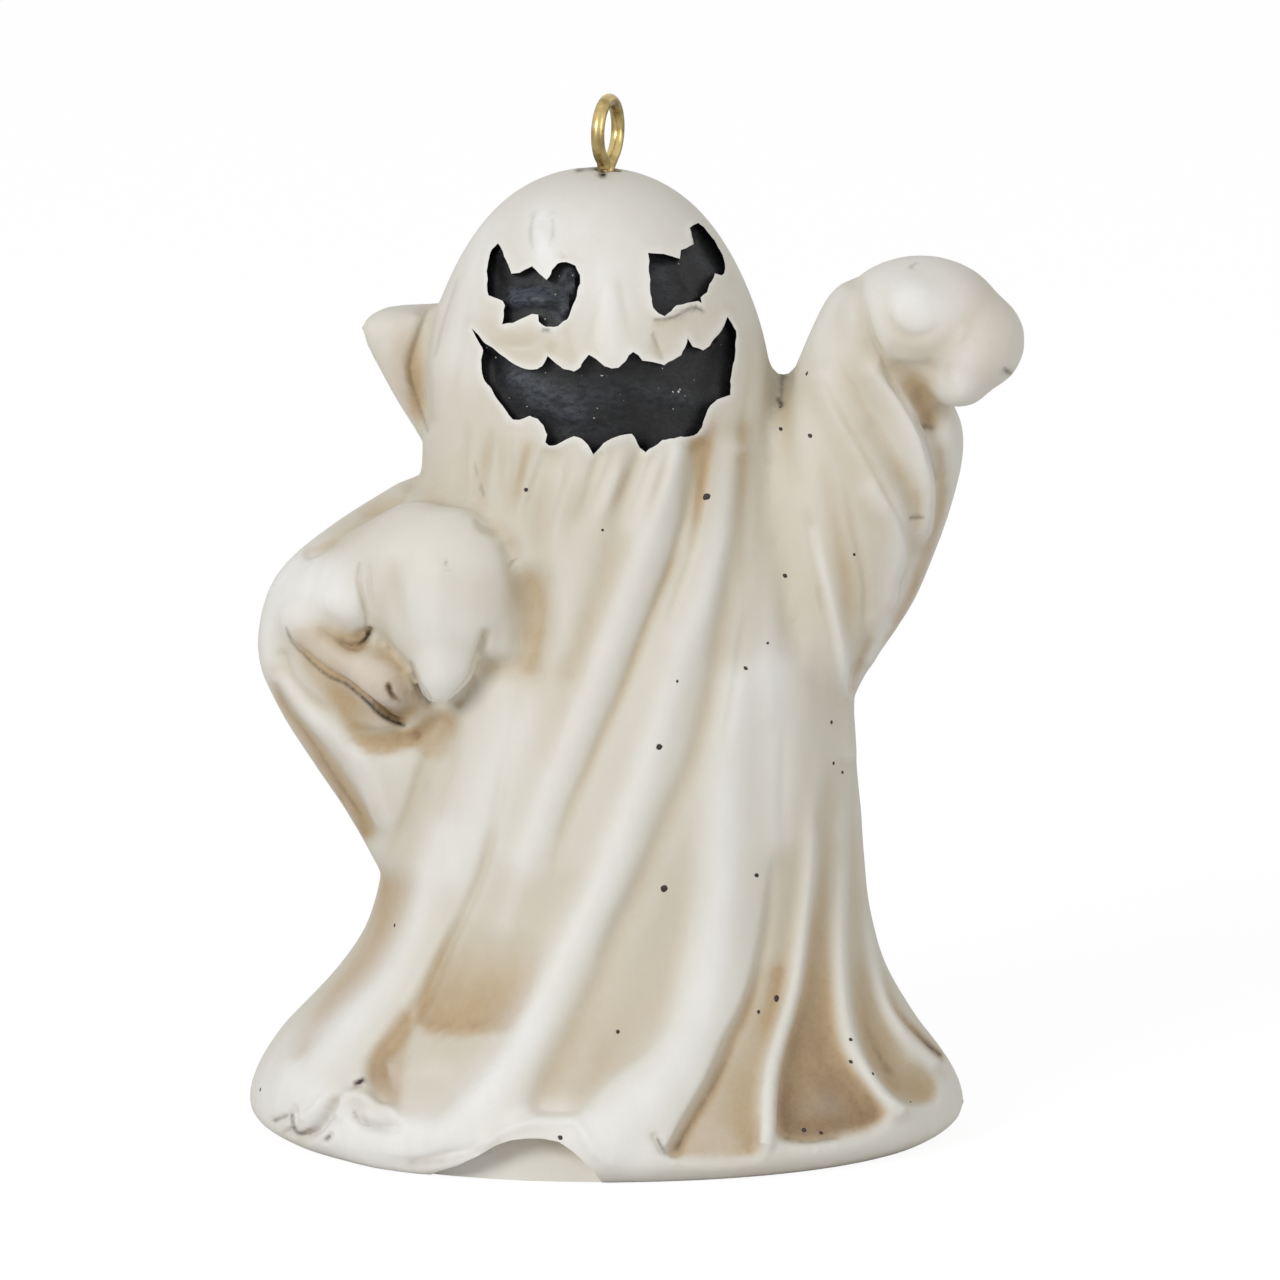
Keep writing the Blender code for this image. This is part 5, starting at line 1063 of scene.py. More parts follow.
# Thin dark lines of painted shade in creases, pits and chips: strength at both ends, reach at both ends, path
creaseShadeLines = {
    "sleeve mouth": (0.35, 1.0, 0.11, 0.18, ((-23.9, 37.3), (-23.4, 36.2), (-22.4, 35.2), (-21.7, 34.5),
        (-20.7, 33.7), (-19.5, 33.2), (-18.6, 32.5), (-17.8, 31.8), (-17, 31), (-16.2, 30.5),
        (-15.2, 30.1))),
    "sleeve dimple": (0.05, 0.75, 0.11, 0.15, ((-21.4, 37.3), (-20.3, 36.6), (-19.3, 36.1), (-18.4, 36.2),
        (-17.7, 36.9))),
    "sleeve crease one": (0.15, 0.25, 0.12, 0.14, ((-18.4, 42.1), (-18.6, 40.8), (-18.3, 39.5), (-18, 38.5),
        (-17.9, 37.4))),
    "tongue pit": (0.9, 0.4, 0.2, 0.15, ((-16.2, 32.9), (-16, 32.4), (-15.5, 31.9))),
    "beside the finger": (0.25, 0.5, 0.14, 0.18, ((-14.6, 34.8), (-14.1, 33.2), (-13.3, 31.8))),
    "hem crumple": (0.7, 0.5, 0.16, 0.2, ((-23.5, 1.0), (-23.4, 0.2), (-22.9, -0.3), (-22.1, 0.0))),
    "hem crumple side": (0.5, 0.4, 0.15, 0.15, ((-24.8, 0.6), (-23.9, 1.0))),
    "hem crumple fill": (0.3, 0.2, 0.45, 0.5, ((-21.7, 0.1), (-20.9, 1.0), (-20.3, 2.0))),
    "hem dimple fill": (0.24, 0.16, 0.35, 0.45, ((-18.6, 1.0), (-17.6, 0.5), (-16.4, 0.3))),
    "hem groove": (0.17, 0.1, 0.25, 0.3, ((-14.6, -2.3), (-12, -2.1), (-10, -1.6), (-8.2, -0.8))),
    "hem pit": (1.0, 1.0, 0.2, 0.2, ((-18.7, 3.5), (-18.2, 3.7))),
    "hem pit low": (0.7, 0.7, 0.15, 0.15, ((-20.9, -0.7), (-20.7, -0.5))),
    "hem dimple": (0.4, 0.25, 0.14, 0.14, ((-18.8, 1.3), (-18.4, 0.6), (-17.6, 0.35))),
    "hem chip": (0.5, 0.5, 0.15, 0.15, ((3.7, -0.5), (4.2, -1.5))),
    "outer right valley": (0.1, 0.8, 0.14, 0.18, ((21.6, 8.7), (22.8, 7.3), (23.8, 6.2), (24.8, 5.4))),
    "right valley": (0.1, 0.4, 0.15, 0.18, ((19.3, 7.6), (20, 5.8), (21, 4.2))),
    "right crease": (0.15, 0.35, 0.15, 0.15, ((9.3, 6.2), (7.7, 3.2), (6, 0.5), (5.1, -1.2))),
    "wide pocket foot": (0.3, 0.3, 0.14, 0.14, ((13.2, -0.5), (14.8, -0.8), (17, -0.5))),
    "neck": (0.9, 0.25, 0.22, 0.14, ((13.0, 56.9), (12.95, 55.4), (12.8, 53.6))),
    "neck fleck": (0.8, 0.8, 0.2, 0.2, ((12.7, 54.3), (12.9, 53.9))),
    "elbow underside": (0.1, 0.3, 0.12, 0.14, ((-24.4, 32), (-22.4, 29.4), (-20.2, 26), (-18.4, 23.4))),
    "brow left": (0.26, 0.1, 0.15, 0.13, ((-5.5, 68), (-5.7, 66.6), (-5.5, 65))),
    "brow right": (0.24, 0.1, 0.14, 0.12, ((-4.2, 68), (-4.0, 66.8), (-4.3, 65.6))),
    "temple": (0.12, 0.2, 0.12, 0.12, ((-11.2, 63), (-12.2, 60), (-12.8, 57.6))),
    "sleeve hollow": (0.6, 0.5, 0.2, 0.25, ((23.5, 52.3), (24.0, 52.2))),
    "sleeve nick": (0.5, 0.5, 0.11, 0.11, ((22.5, 45.5), (23.4, 45.5))),
    "hand nick": (0.25, 0.25, 0.12, 0.12, ((22.4, 64), (22.8, 64.3))),
    "hood line": (0.25, 0.35, 0.12, 0.14, ((-13.5, 61), (-14.1, 59.4), (-14.8, 56.7), (-14.1, 54),
        (-13.4, 52))),
    "sleeve front line": (0.1, 0.2, 0.1, 0.12, ((19.1, 60.4), (19.6, 58.6), (21.3, 55.2), (23.4, 51.6),
        (24.4, 48.4))),
    "cheek chip": (0.5, 0.6, 0.12, 0.12, ((3.5, 60.1), (4.9, 60.3), (6.2, 61.0), (7.0, 60.8))),
    "chin nick": (0.45, 0.35, 0.12, 0.11, ((-9.8, 49.1), (-9.7, 48.6))),
    "chin nick low": (0.4, 0.3, 0.12, 0.11, ((-9.4, 47.9), (-9.2, 47.2))),
    "bent hand nick": (0.35, 0.3, 0.12, 0.11, ((-12, 42.2), (-11.95, 41.7))),
    "palm edge": (0.6, 0.6, 0.2, 0.2, ((29.4, 56.4), (29.9, 56.2))),
    "cheek crease": (0.3, 0.15, 0.12, 0.12, ((3.3, 59), (3.7, 58.1), (4, 57.2))),
    "under the left eye": (0.7, 0.7, 0.14, 0.14, ((-4.8, 59.35), (-4.4, 59.3))),
    "hand cuff": (0.2, 0.1, 0.15, 0.15, ((-9.9, 45.3), (-9.3, 44.8), (-8.3, 44.4))),
    "crown chip": (1.0, 1.1, 0.2, 0.2, ((-2.2, 71.35), (-1.6, 71.5), (-1.0, 71.5))),
    "crown pit": (1.1, 1.1, 0.18, 0.18, ((-0.45, 71.0), (-0.3, 70.95))),
}
# Rubbed ridges with painted highlights, whiter than the rest: strength at both ends, reach at both ends, path
rubsAndHighlights = {
    "broad ridge": (0.6, 1.0, 1.6, 2.4, ((9.8, 33), (9, 27), (8.8, 22), (8.6, 17.5), (8, 13), (6.8, 8.6),
        (4.8, 5), (2.2, 2.2), (0, 0))),
    "middle ridge": (0.15, 0.9, 0.9, 2.0, ((8.9, 45.8), (7.6, 41), (5.4, 35), (3.6, 29), (1.6, 23),
        (-0.6, 18), (-2.8, 13.5), (-4.8, 9.6), (-7, 5.8), (-9.6, 2.2))),
    "second ridge": (0.35, 0.35, 0.9, 1.3, ((4.9, 50.3), (3.8, 46.5), (2.2, 41.5), (0.6, 37), (-1.6, 31.5),
        (-4, 26), (-6.2, 20))),
    "left ridge": (0.55, 0.9, 1.2, 2.0, ((-12.4, 22), (-13.2, 19), (-14.5, 15), (-16.4, 11.5), (-18.4, 9),
        (-20.8, 6.5))),
    "left hem": (1.0, 1.0, 3.0, 2.6, ((-23.5, 2.6), (-18, -0.4), (-11, -0.6))),
    "head left": (0.6, 0.5, 1.6, 1.8, ((-9.2, 66.6), (-10.6, 62.4), (-11.2, 58))),
    "chin": (0.15, 0.12, 0.5, 0.7, ((-3.4, 50.4), (-4.2, 47.4), (-5, 44))),
    "chin right": (0.2, 0.15, 0.5, 0.7, ((0.6, 50.6), (-0.4, 47.6), (-2, 43.6))),
    "chin far right": (0.25, 0.2, 0.5, 0.6, ((3.5, 51), (2.6, 47.6), (1.2, 43.4))),
    "hanging ridge": (0.4, 0.5, 0.5, 0.5, ((15.2, 44.5), (16.3, 40), (17.2, 36), (17.8, 33))),
    "hanging edge": (0.35, 0.45, 0.5, 0.5, ((22.8, 42.4), (21.6, 39), (19.8, 35.6), (18.6, 33.2))),
    "elbow edge": (0.5, 0.4, 0.5, 0.6, ((-23.9, 33.4), (-21.8, 30.8), (-19.2, 28.2), (-17.4, 24.6))),
    "brow smear": (1.1, 1.1, 1.15, 0.95, ((-4.8, 67.4), (-4.8, 65.4), (-4.4, 63.9))),
    "hem middle": (0.75, 0.75, 1.4, 1.8, ((-7, 0.9), (-3.5, 1.0), (-1, -0.6), (2.5, -1.6))),
    "elbow": (1.0, 0.9, 2.7, 2.2, ((-23.2, 41.2), (-20.8, 40.4))),
    "elbow side": (0.6, 0.35, 1.0, 0.7, ((-24.9, 40), (-25.4, 36.4), (-24.9, 33.4))),
    "bent hand": (0.18, 0.5, 2.2, 1.6, ((-12.6, 41), (-12.6, 37), (-12.4, 33.4))),
    "forehead": (0.5, 0.4, 4.5, 4.0, ((-3.5, 67), (0.5, 62.5))),
    "nose": (0.55, 0.5, 1.5, 1.3, ((-0.3, 63), (0.2, 58.4))),
    "palm": (0.5, 0.4, 2.6, 3.0, ((20.8, 63.2), (25, 62.4))),
    "knuckle": (0.5, 0.5, 1.8, 1.8, ((22.4, 61.6), (22.9, 60.9))),
    "fingertips": (0.4, 0.5, 1.2, 1.1, ((26.4, 57.2), (25.9, 55.4))),
    "sleeve edge": (0.3, 0.3, 0.9, 0.8, ((19.8, 56.4), (21.9, 53.6), (23.3, 50.5), (23.9, 47))),
    "sleeve fold": (0.3, 0.3, 0.9, 0.9, ((19.8, 47.5), (21.6, 45.4), (22, 42.5), (21, 38.8))),
    "sleeve shoulder": (0.35, 0.2, 1.6, 1.2, ((15.6, 61), (16, 57), (17.4, 52.5))),
    "right hem": (0.15, 0.15, 1.2, 1.2, ((12, -1.4), (18, -1.4), (24, 0.4))),
    "thin right ridge": (0.3, 0.45, 0.5, 0.6, ((15.3, 23), (14.9, 18), (14.4, 14.2), (13.7, 10),
        (12.7, 6.6), (12.0, 3.6), (11.7, -0.8))),
    "right ridge": (0.3, 0.45, 0.5, 0.5, ((17.5, 21), (17.3, 15), (17.4, 10), (17.9, 7), (18.8, 4.8),
        (20.2, 2.6), (21.6, 1.4))),
    "outer right ridge": (0.25, 0.45, 0.45, 0.5, ((19.2, 17), (19.7, 12.8), (20.5, 9.6), (21.9, 7.2),
        (24.3, 4.9))),
    "pale patch": (0.25, 0.3, 1.4, 1.6, ((-12.6, 6), (-12.8, 3.4))),
    "hood": (0.2, 0.15, 1.0, 0.9, ((-17.6, 60.4), (-16.4, 57))),
    "right body": (0.75, 0.3, 1.8, 1.4, ((12.3, 34), (12.4, 25), (13, 20))),
    "left body": (0.55, 0.6, 2.4, 2.0, ((-7.0, 30), (-9.6, 24), (-11.4, 19.6))),
}
# Flat fields of wash and painted shade: strength at the top and the foot, softness, outline. Those under the
# sleeve, beside the finger and in the raised sleeve's hollow are painted shade.
washAndShadeFields = {
    "left pocket": (0.05, 0.54, 0.45, ((-12.6, 13.4), (-11.4, 15.6), (-8.2, 15.4), (-5.0, 14.2),
        (-5.5, 10.2), (-6.8, 7.5), (-9.4, 7.25), (-12.0, 7.1), (-14.2, 7.9), (-13.6, 10.7))),
    "left crease": (0.26, 0.5, 0.5, ((-15.6, 9.4), (-14.4, 8.2), (-15.0, 5.6), (-15.4, 2.1), (-16.6, 2.2),
        (-17.8, 4.2), (-17.4, 6.2))),
    # painted shade under the sleeve's hem
    "under the sleeve": (0.5, 0.45, 0.3, ((-19.2, 29.1), (-14.1, 29.8), (-14.5, 28.5), (-17.4, 27.7))),
    "sleeve cuff": (0.38, 0.48, 0.7, ((-23.7, 37.6), (-20.6, 37.6), (-17.5, 36.2), (-14.4, 34.2),
        (-14.3, 31.4), (-15.5, 30.2), (-18.9, 29.4), (-20.3, 31.1), (-22.7, 34.2))),
    # painted shade beside the long finger
    "beside the finger": (0.24, 0.3, 0.5, ((-14.2, 33.8), (-12.6, 31.4), (-10.6, 31.9), (-11.6, 27.9),
        (-14.2, 28.0), (-14.6, 30.2))),
    "left cheek": (0.14, 0.2, 0.35, ((-10.2, 60.6), (-8.0, 60.2), (-6.6, 60.0), (-4.6, 59.0), (-3.4, 58.4),
        (-2.2, 57.6), (-3.0, 56.4), (-6, 56.6), (-9, 58.2), (-10.6, 60))),
    "right cheek": (0.12, 0.16, 0.35, ((3.4, 60.6), (5.4, 61), (7.8, 61.2), (9.4, 61.6), (9.2, 59.4),
        (7.0, 57.6), (4.4, 57.4), (3.0, 57.8))),
    "sleeve cuff tip": (0.1, 0.4, 0.6, ((-17.8, 34.2), (-14.6, 33.0), (-14.8, 31.0), (-15.6, 30.4),
        (-17.6, 31.9))),
    "elbow underside": (0.12, 0.3, 0.8, ((-25.4, 35), (-23.6, 31.4), (-20.4, 29), (-17.4, 24.6),
        (-17.6, 21.6), (-19.2, 22), (-22.5, 27.2), (-25.2, 32))),
    "hood foot": (0.1, 0.3, 0.7, ((-16.4, 60.2), (-14.0, 60.8), (-13.8, 52.5), (-15.4, 55.4))),
    # painted shade in the hollow of the raised sleeve
    "sleeve hollow": (0.16, 0.24, 0.6, ((19.6, 57.4), (22.6, 56.8), (25.0, 54.8), (24.8, 52.2),
        (23.6, 51.6), (22.4, 53.8))),
}
paintMarks = {
    "smallRounds": 14, "broadRounds": 110,      # averaging that finds small and broad hollows
    # factor and limit of the wash and painted shade in hollows, and of the wear and painted highlight on what
    # stands out
    "smallHollow": (1.0, 0.2), "broadHollow": (0.3, 0.22),
    "smallWearAndHighlight": (-3.0, 0.6), "broadWearAndHighlight": (-1.1, 0.9), "wearAndHighlight": (0.5, 0.42),
    # share of the hollows' wash and painted shade: everywhere, more at the foot, more behind
    "hollowShare": 0.6, "footShare": 0.3, "footHeight": 14.0, "behindShare": 0.6, "behindDepth": 6.0,
    "pocketEven": 0.7,          # how much less of it the pockets get
    "strongest": 0.9,
    # a painted highlight along the rims of the face's recesses: strength, reach, and how squarely the faces
    # turn to the camera
    "rimHighlight": 0.45, "rimReach": 0.3, "rimFacing": 0.5,
}


def neighbours(mesh):
    edges = np.empty(len(mesh.edges) * 2, dtype=np.int32)
    mesh.edges.foreach_get("vertices", edges)
    edges = edges.reshape(-1, 2)
    ends = np.concatenate((edges[:, 0], edges[:, 1]))
    others = np.concatenate((edges[:, 1], edges[:, 0]))
    counts = np.maximum(np.bincount(ends, minlength=len(mesh.vertices)), 1)
    return ends, others, counts


def averaged(values, links, rounds):
    ends, others, counts = links
    for _ in range(rounds):
        sums = [np.bincount(ends, weights=values[others, axis], minlength=len(values))
                for axis in range(values.shape[1])]
        values = 0.5 * values + 0.5 * np.stack(sums, axis=1) / counts[:, None]
    return values


def storeValue(mesh, name, values):
    attribute = mesh.attributes.new(name, "FLOAT", "POINT")
    attribute.data.foreach_set("value", values.astype(np.float32))


def capped(values, mark):
    factor, limit = paintMarks[mark]
    return np.clip(factor * values, 0.0, limit)


def unpainted(rows, front, across, up):
    # What a set of patches leaves of the paint under it
    left = np.ones(len(front))
    for row in rows.values():
        patch = front * strokeRelief(row, across, up, skin["fade"])
        left *= 1.0 - np.clip(patch, 0.0, paintMarks["strongest"])
    return left


def markPaint(mesh):
    points, normals = readMesh(mesh)
    links = neighbours(mesh)
    front = facing(normals)[0]
    across, up = drawn(points)
    small = averaged(points, links, paintMarks["smallRounds"])
    broad = averaged(small, links, paintMarks["broadRounds"])
    hollow = np.einsum("ij,ij->i", small - points, normals)
    broadHollow = np.einsum("ij,ij->i", broad - points, normals)

    clearOfWashAndShade = unpainted(washAndShadePatches, front, across, up)
    even = np.ones(len(points))
    for _, _, topDarkening, footDarkening, softness, outline in pockets.values():
        share = front * pocketShare(outline, softness, across, up)
        clearOfWashAndShade *= 1.0 - pocketLevel(topDarkening, footDarkening, outline, up) * share
        even = np.minimum(even, 1.0 - paintMarks["pocketEven"] * share)
    for topDarkening, footDarkening, softness, outline in washAndShadeFields.values():
        share = front * pocketShare(outline, softness, across, up)
        clearOfWashAndShade *= 1.0 - pocketLevel(topDarkening, footDarkening, outline, up) * share
    low = np.clip(1.0 - points[:, 2] / paintMarks["footHeight"], 0.0, 1.0)
    behind = np.clip(points[:, 1] / paintMarks["behindDepth"], 0.0, 1.0)
    place = paintMarks["hollowShare"] + paintMarks["footShare"] * low + paintMarks["behindShare"] * behind
    # wash and painted shade in the hollows, more of it at the foot and behind
    hollowWashAndShade = place * (capped(hollow, "smallHollow") + capped(broadHollow, "broadHollow"))
    storeValue(mesh, "washAndShade", 1.0 - clearOfWashAndShade * (1.0 - hollowWashAndShade * even))

    # thin dark lines of painted shade in creases, pits and chips
    creaseShade = np.zeros(len(points))
    for row in creaseShadeLines.values():
        creaseShade = np.maximum(creaseShade, front * strokeRelief(row, across, up))
    storeValue(mesh, "creaseShade", creaseShade)

    # wear and painted highlights on what stands out, on the rubbed ridges and along the face's rims
    standsOut = capped(hollow, "smallWearAndHighlight") + capped(broadHollow, "broadWearAndHighlight")
    unwornUnlit = (1.0 - capped(standsOut, "wearAndHighlight")) * unpainted(rubsAndHighlights, front, across, up)
    # painted highlight along the rims of the face's recesses, only where they face the camera
    towardsCamera = normals @ np.array(-sight) > paintMarks["rimFacing"]
    highlightStrength = paintMarks["rimHighlight"]
    reach = paintMarks["rimReach"]
    for outline in face["outlines"].values():
        rim = (highlightStrength, highlightStrength, reach, reach, outline + outline[:1])
        unwornUnlit *= 1.0 - towardsCamera * strokeRelief(rim, across, up)
    storeValue(mesh, "wearAndHighlight", 1.0 - unwornUnlit)

    # painted sheen on the black paint
    paintedSheen = np.zeros(len(points))
    for row in face["paintedSheen"].values():
        paintedSheen = np.maximum(paintedSheen, strokeRelief(row, across, up))
    storeValue(mesh, "paintedSheen", paintedSheen)


# Materials

# Fine unevenness of hand-brushed paint, with long streaks upright
brushGrain = {
    "size": 0.3, "streak": 0.3, "depth": 0.02,
    "detail": 3.0, "roughness": 0.6,
    "streaksPerMetre": 1400.0, "streakStretch": (1.0, 1.0, 0.12), "streakDetail": 2.0,
}
# Colours are 0-255 screen values. A noise is its size, detail, roughness and stretch, a range is from
# low and high to low and high, and a grain is its size, streak and depth.
ivoryPaint = {
    # the first colour is the white of rubbed paint and painted highlights, the second the dark of painted
    # shade in creases
    "rubbedHighlight": (243, 242, 239), "creaseShade": (52, 43, 35),
    # how strong the wash and painted shade are at each colour
    "washAndShade": {
        "ivory": (0.02, (213, 207, 191)),
        "cream": (0.24, (204, 193, 172)),
        "tan": (0.5, (188, 165, 131)),
        "brown": (0.75, (160, 134, 102)),
        "umber": (1.0, (126, 99, 72)),
    },
    "blotch": (2.6, 3.0, 0.55, (1.0, 1.0, 0.45)), "blotchShare": 0.42,
    "edge": (0.7, 3.0, 0.6), "edgeShare": 0.16,
    "dirt": (0.32, 3.0, 0.7), "dirtRange": (0.52, 0.7, 0.0, 0.13),
    "unevenWithoutWash": 0.2,
    "rubAndHighlightRange": (0.35, 0.65, 0.82, 1.0), "creaseShadeRange": (0.35, 0.6, 0.75, 1.15),
    "grain": (0.22, 0.35, 0.009), "grainShade": (0.3, 0.7, 0.985, 1.01),
    "roughness": (0.25, 0.75, 0.5, 0.68), "specular": 0.35,
}
blackPaint = {
    # the sheen colour is painted sheen, light caught on the black paint
    "deep": (20, 20, 21), "brushed": (31, 32, 33), "paintedSheen": (70, 74, 82), "fleck": (190, 190, 186),
    "brush": (0.34, 3.0, 0.65, (0.45, 1.0, 1.0)), "brushRange": (0.4, 0.65, 0.0, 1.0),
    "paintedSheenRange": (0.36, 0.62, 0.1, 1.0),
    "dust": (0.34, 1.0), "dustRange": (0.765, 0.79, 0.0, 1.0),
    "grain": (0.16, 0.0, 0.02), "roughness": (0.3, 0.7, 0.38, 0.6), "specular": 0.3,
}
brass = {
    "bright": (203, 181, 124), "dull": (138, 116, 72),
    "tarnish": (1.4, 3.0, 0.6), "tarnishRange": (0.42, 0.68, 0.0, 1.0),
    "grain": (0.12, 0.5, 0.004), "roughness": (0.3, 0.7, 0.2, 0.4),
}
darkSpeck = {
    "dark": (30, 26, 24), "lighter": (58, 48, 42),
    "tone": (0.3, 2.0), "toneRange": (0.3, 0.7, 0.0, 1.0), "roughness": 0.6,
}


def addSocket(group, name, kind, way, value=None):
    made = group.interface.new_socket(name=name, in_out=way, socket_type=kind)
    if value is not None:
        made.default_value = value


def handGrain():
    # The brushed grain as a group that the ivory, black and brass materials use: a value around 0.5 and a
    # bump normal
    group = bpy.data.node_groups.new("hand brushed grain", "ShaderNodeTree")
    addSocket(group, "Vector", "NodeSocketVector", "INPUT")
    addSocket(group, "Grain Size", "NodeSocketFloat", "INPUT", brushGrain["size"])
    addSocket(group, "Streak", "NodeSocketFloat", "INPUT", brushGrain["streak"])
    addSocket(group, "Depth", "NodeSocketFloat", "INPUT", brushGrain["depth"])
    addSocket(group, "Value", "NodeSocketFloat", "OUTPUT")
    addSocket(group, "Normal", "NodeSocketVector", "OUTPUT")
    given = group.nodes.new("NodeGroupInput").outputs
    perMetre = addNode(group, "ShaderNodeMath", {0: 1.0 / mm, 1: given["Grain Size"]}, operation="DIVIDE")
    fine = addNode(group, "ShaderNodeTexNoise", {
        "Vector": given["Vector"], "Scale": perMetre.outputs[0],
        "Detail": brushGrain["detail"], "Roughness": brushGrain["roughness"]})
    squeeze = addNode(group, "ShaderNodeMapping", {
        "Vector": given["Vector"], "Scale": brushGrain["streakStretch"]})
    streak = addNode(group, "ShaderNodeTexNoise", {
        "Vector": squeeze.outputs[0], "Scale": brushGrain["streaksPerMetre"],
        "Detail": brushGrain["streakDetail"]})
    parts = {0: given["Streak"], 2: fine.outputs["Fac"], 3: streak.outputs["Fac"]}
    blend = addNode(group, "ShaderNodeMix", parts, data_type="FLOAT").outputs[0]
    metres = addNode(group, "ShaderNodeMath", {0: given["Depth"], 1: mm}, operation="MULTIPLY")
    bump = addNode(group, "ShaderNodeBump", {"Strength": 1.0, "Distance": metres.outputs[0], "Height": blend})
    addNode(group, "NodeGroupOutput", {"Value": blend, "Normal": bump.outputs[0]})
    return group


def linear(colour):
    # From 0-255 screen values to Blender's linear colour
    shares = [value / 255 for value in colour]
    return (*(s / 12.92 if s <= 0.04 else ((s + 0.055) / 1.055) ** 2.4 for s in shares), 1.0)


class Paint:
    # A material with short calls for its nodes

    def __init__(self, name):
        self.material = bpy.data.materials.new(name)
        self.material.use_nodes = True
        self.tree = self.material.node_tree
        self.shader = self.tree.nodes["Principled BSDF"]
        self.place = self.tree.nodes.new("ShaderNodeTexCoord").outputs["Object"]

    def finish(self, inputs):
        setInputs(self.tree, self.shader, inputs)
        return self.material

    def attribute(self, name):
        return addNode(self.tree, "ShaderNodeAttribute", {}, attribute_name=name).outputs["Fac"]

    def noise(self, size, detail=2.0, roughness=0.5, stretch=(1.0, 1.0, 1.0)):
        turn = addNode(self.tree, "ShaderNodeMapping", {"Vector": self.place, "Scale": stretch})
        node = addNode(self.tree, "ShaderNodeTexNoise", {
            "Vector": turn.outputs[0], "Scale": 1.0 / (size * mm), "Detail": detail, "Roughness": roughness})
        return node.outputs["Fac"]

    def math(self, operation, first, second, clamp=False):
        values = {0: first, 1: second}
        return addNode(self.tree, "ShaderNodeMath", values, operation=operation, use_clamp=clamp).outputs[0]

    def ramp(self, value, stops):
        node = addNode(self.tree, "ShaderNodeValToRGB", {"Fac": value})
        while len(node.color_ramp.elements) < len(stops):
            node.color_ramp.elements.new(0.5)
        for element, (position, colour) in zip(node.color_ramp.elements, stops):
            element.position = position
            element.color = linear(colour)
        return node.outputs["Color"]

    def range(self, value, fromLow, fromHigh, toLow, toHigh):
        node = addNode(self.tree, "ShaderNodeMapRange", {
            "Value": value, "From Min": fromLow, "From Max": fromHigh, "To Min": toLow, "To Max": toHigh})
        return node.outputs["Result"]

    def mix(self, share, first, second, kind="MIX"):
        values = {0: share, 6: first, 7: second}
        return addNode(self.tree, "ShaderNodeMix", values, data_type="RGBA", blend_type=kind).outputs[2]

    def grain(self, group, size, streak, depth):
        look = {"Vector": self.place, "Grain Size": size, "Streak": streak, "Depth": depth}
        node = addNode(self.tree, "ShaderNodeGroup", look, node_tree=group)
        setInputs(self.tree, self.shader, {"Normal": node.outputs["Normal"]})
        return node.outputs["Value"]


def ivoryMaterial(group):
    paint = Paint("ivory painted resin")
    grain = paint.grain(group, *ivoryPaint["grain"])
    # wash, with painted shade in hollows, creases and under the parts
    washAndShade = paint.attribute("washAndShade")
    blotch = paint.noise(*ivoryPaint["blotch"])
    edge = paint.noise(*ivoryPaint["edge"])
    uneven = paint.math("MULTIPLY", paint.math("SUBTRACT", blotch, 0.5), ivoryPaint["blotchShare"])
    ragged = paint.math("MULTIPLY", paint.math("SUBTRACT", edge, 0.5), ivoryPaint["edgeShare"])
    dirt = paint.range(paint.noise(*ivoryPaint["dirt"]), *ivoryPaint["dirtRange"])
    uneven = paint.math("ADD", paint.math("ADD", uneven, ragged), paint.math("MULTIPLY", dirt, washAndShade))
    uneven = paint.math("MULTIPLY", uneven, paint.math("ADD", washAndShade, ivoryPaint["unevenWithoutWash"]))
    base = paint.ramp(paint.math("ADD", washAndShade, uneven, clamp=True), list(ivoryPaint["washAndShade"].values()))
    # rubbed paint and painted highlights, whiter
    rubAndHighlightBreakup = paint.range(blotch, *ivoryPaint["rubAndHighlightRange"])
    wornAndLit = paint.math("MULTIPLY", paint.attribute("wearAndHighlight"), rubAndHighlightBreakup, clamp=True)
    base = paint.mix(wornAndLit, base, linear(ivoryPaint["rubbedHighlight"]))
    # thin lines of painted shade in creases
    broken = paint.range(edge, *ivoryPaint["creaseShadeRange"])
    creaseShaded = paint.math("MULTIPLY", paint.attribute("creaseShade"), broken, clamp=True)
    base = paint.mix(creaseShaded, base, linear(ivoryPaint["creaseShade"]))
    faint = paint.range(grain, *ivoryPaint["grainShade"])
    shade = addNode(paint.tree, "ShaderNodeCombineColor", {0: faint, 1: faint, 2: faint})
    return paint.finish({
        "Base Color": paint.mix(1.0, base, shade.outputs[0], "MULTIPLY"),
        "Roughness": paint.range(grain, *ivoryPaint["roughness"]),
        "Specular IOR Level": ivoryPaint["specular"]})


def blackMaterial(group):
    paint = Paint("black face paint")
    grain = paint.grain(group, *blackPaint["grain"])
    brush = paint.noise(*blackPaint["brush"])
    brushed = paint.range(brush, *blackPaint["brushRange"])
    base = paint.mix(brushed, linear(blackPaint["deep"]), linear(blackPaint["brushed"]))
    # painted sheen: a paler blue-grey where light would catch the black paint
    sheenBreakup = paint.range(brush, *blackPaint["paintedSheenRange"])
    sheenShare = paint.math("MULTIPLY", paint.attribute("paintedSheen"), sheenBreakup, clamp=True)
    base = paint.mix(sheenShare, base, linear(blackPaint["paintedSheen"]))
    dust = paint.range(paint.noise(*blackPaint["dust"]), *blackPaint["dustRange"])
    return paint.finish({
        "Base Color": paint.mix(dust, base, linear(blackPaint["fleck"])),
        "Roughness": paint.range(grain, *blackPaint["roughness"]),
        "Specular IOR Level": blackPaint["specular"]})


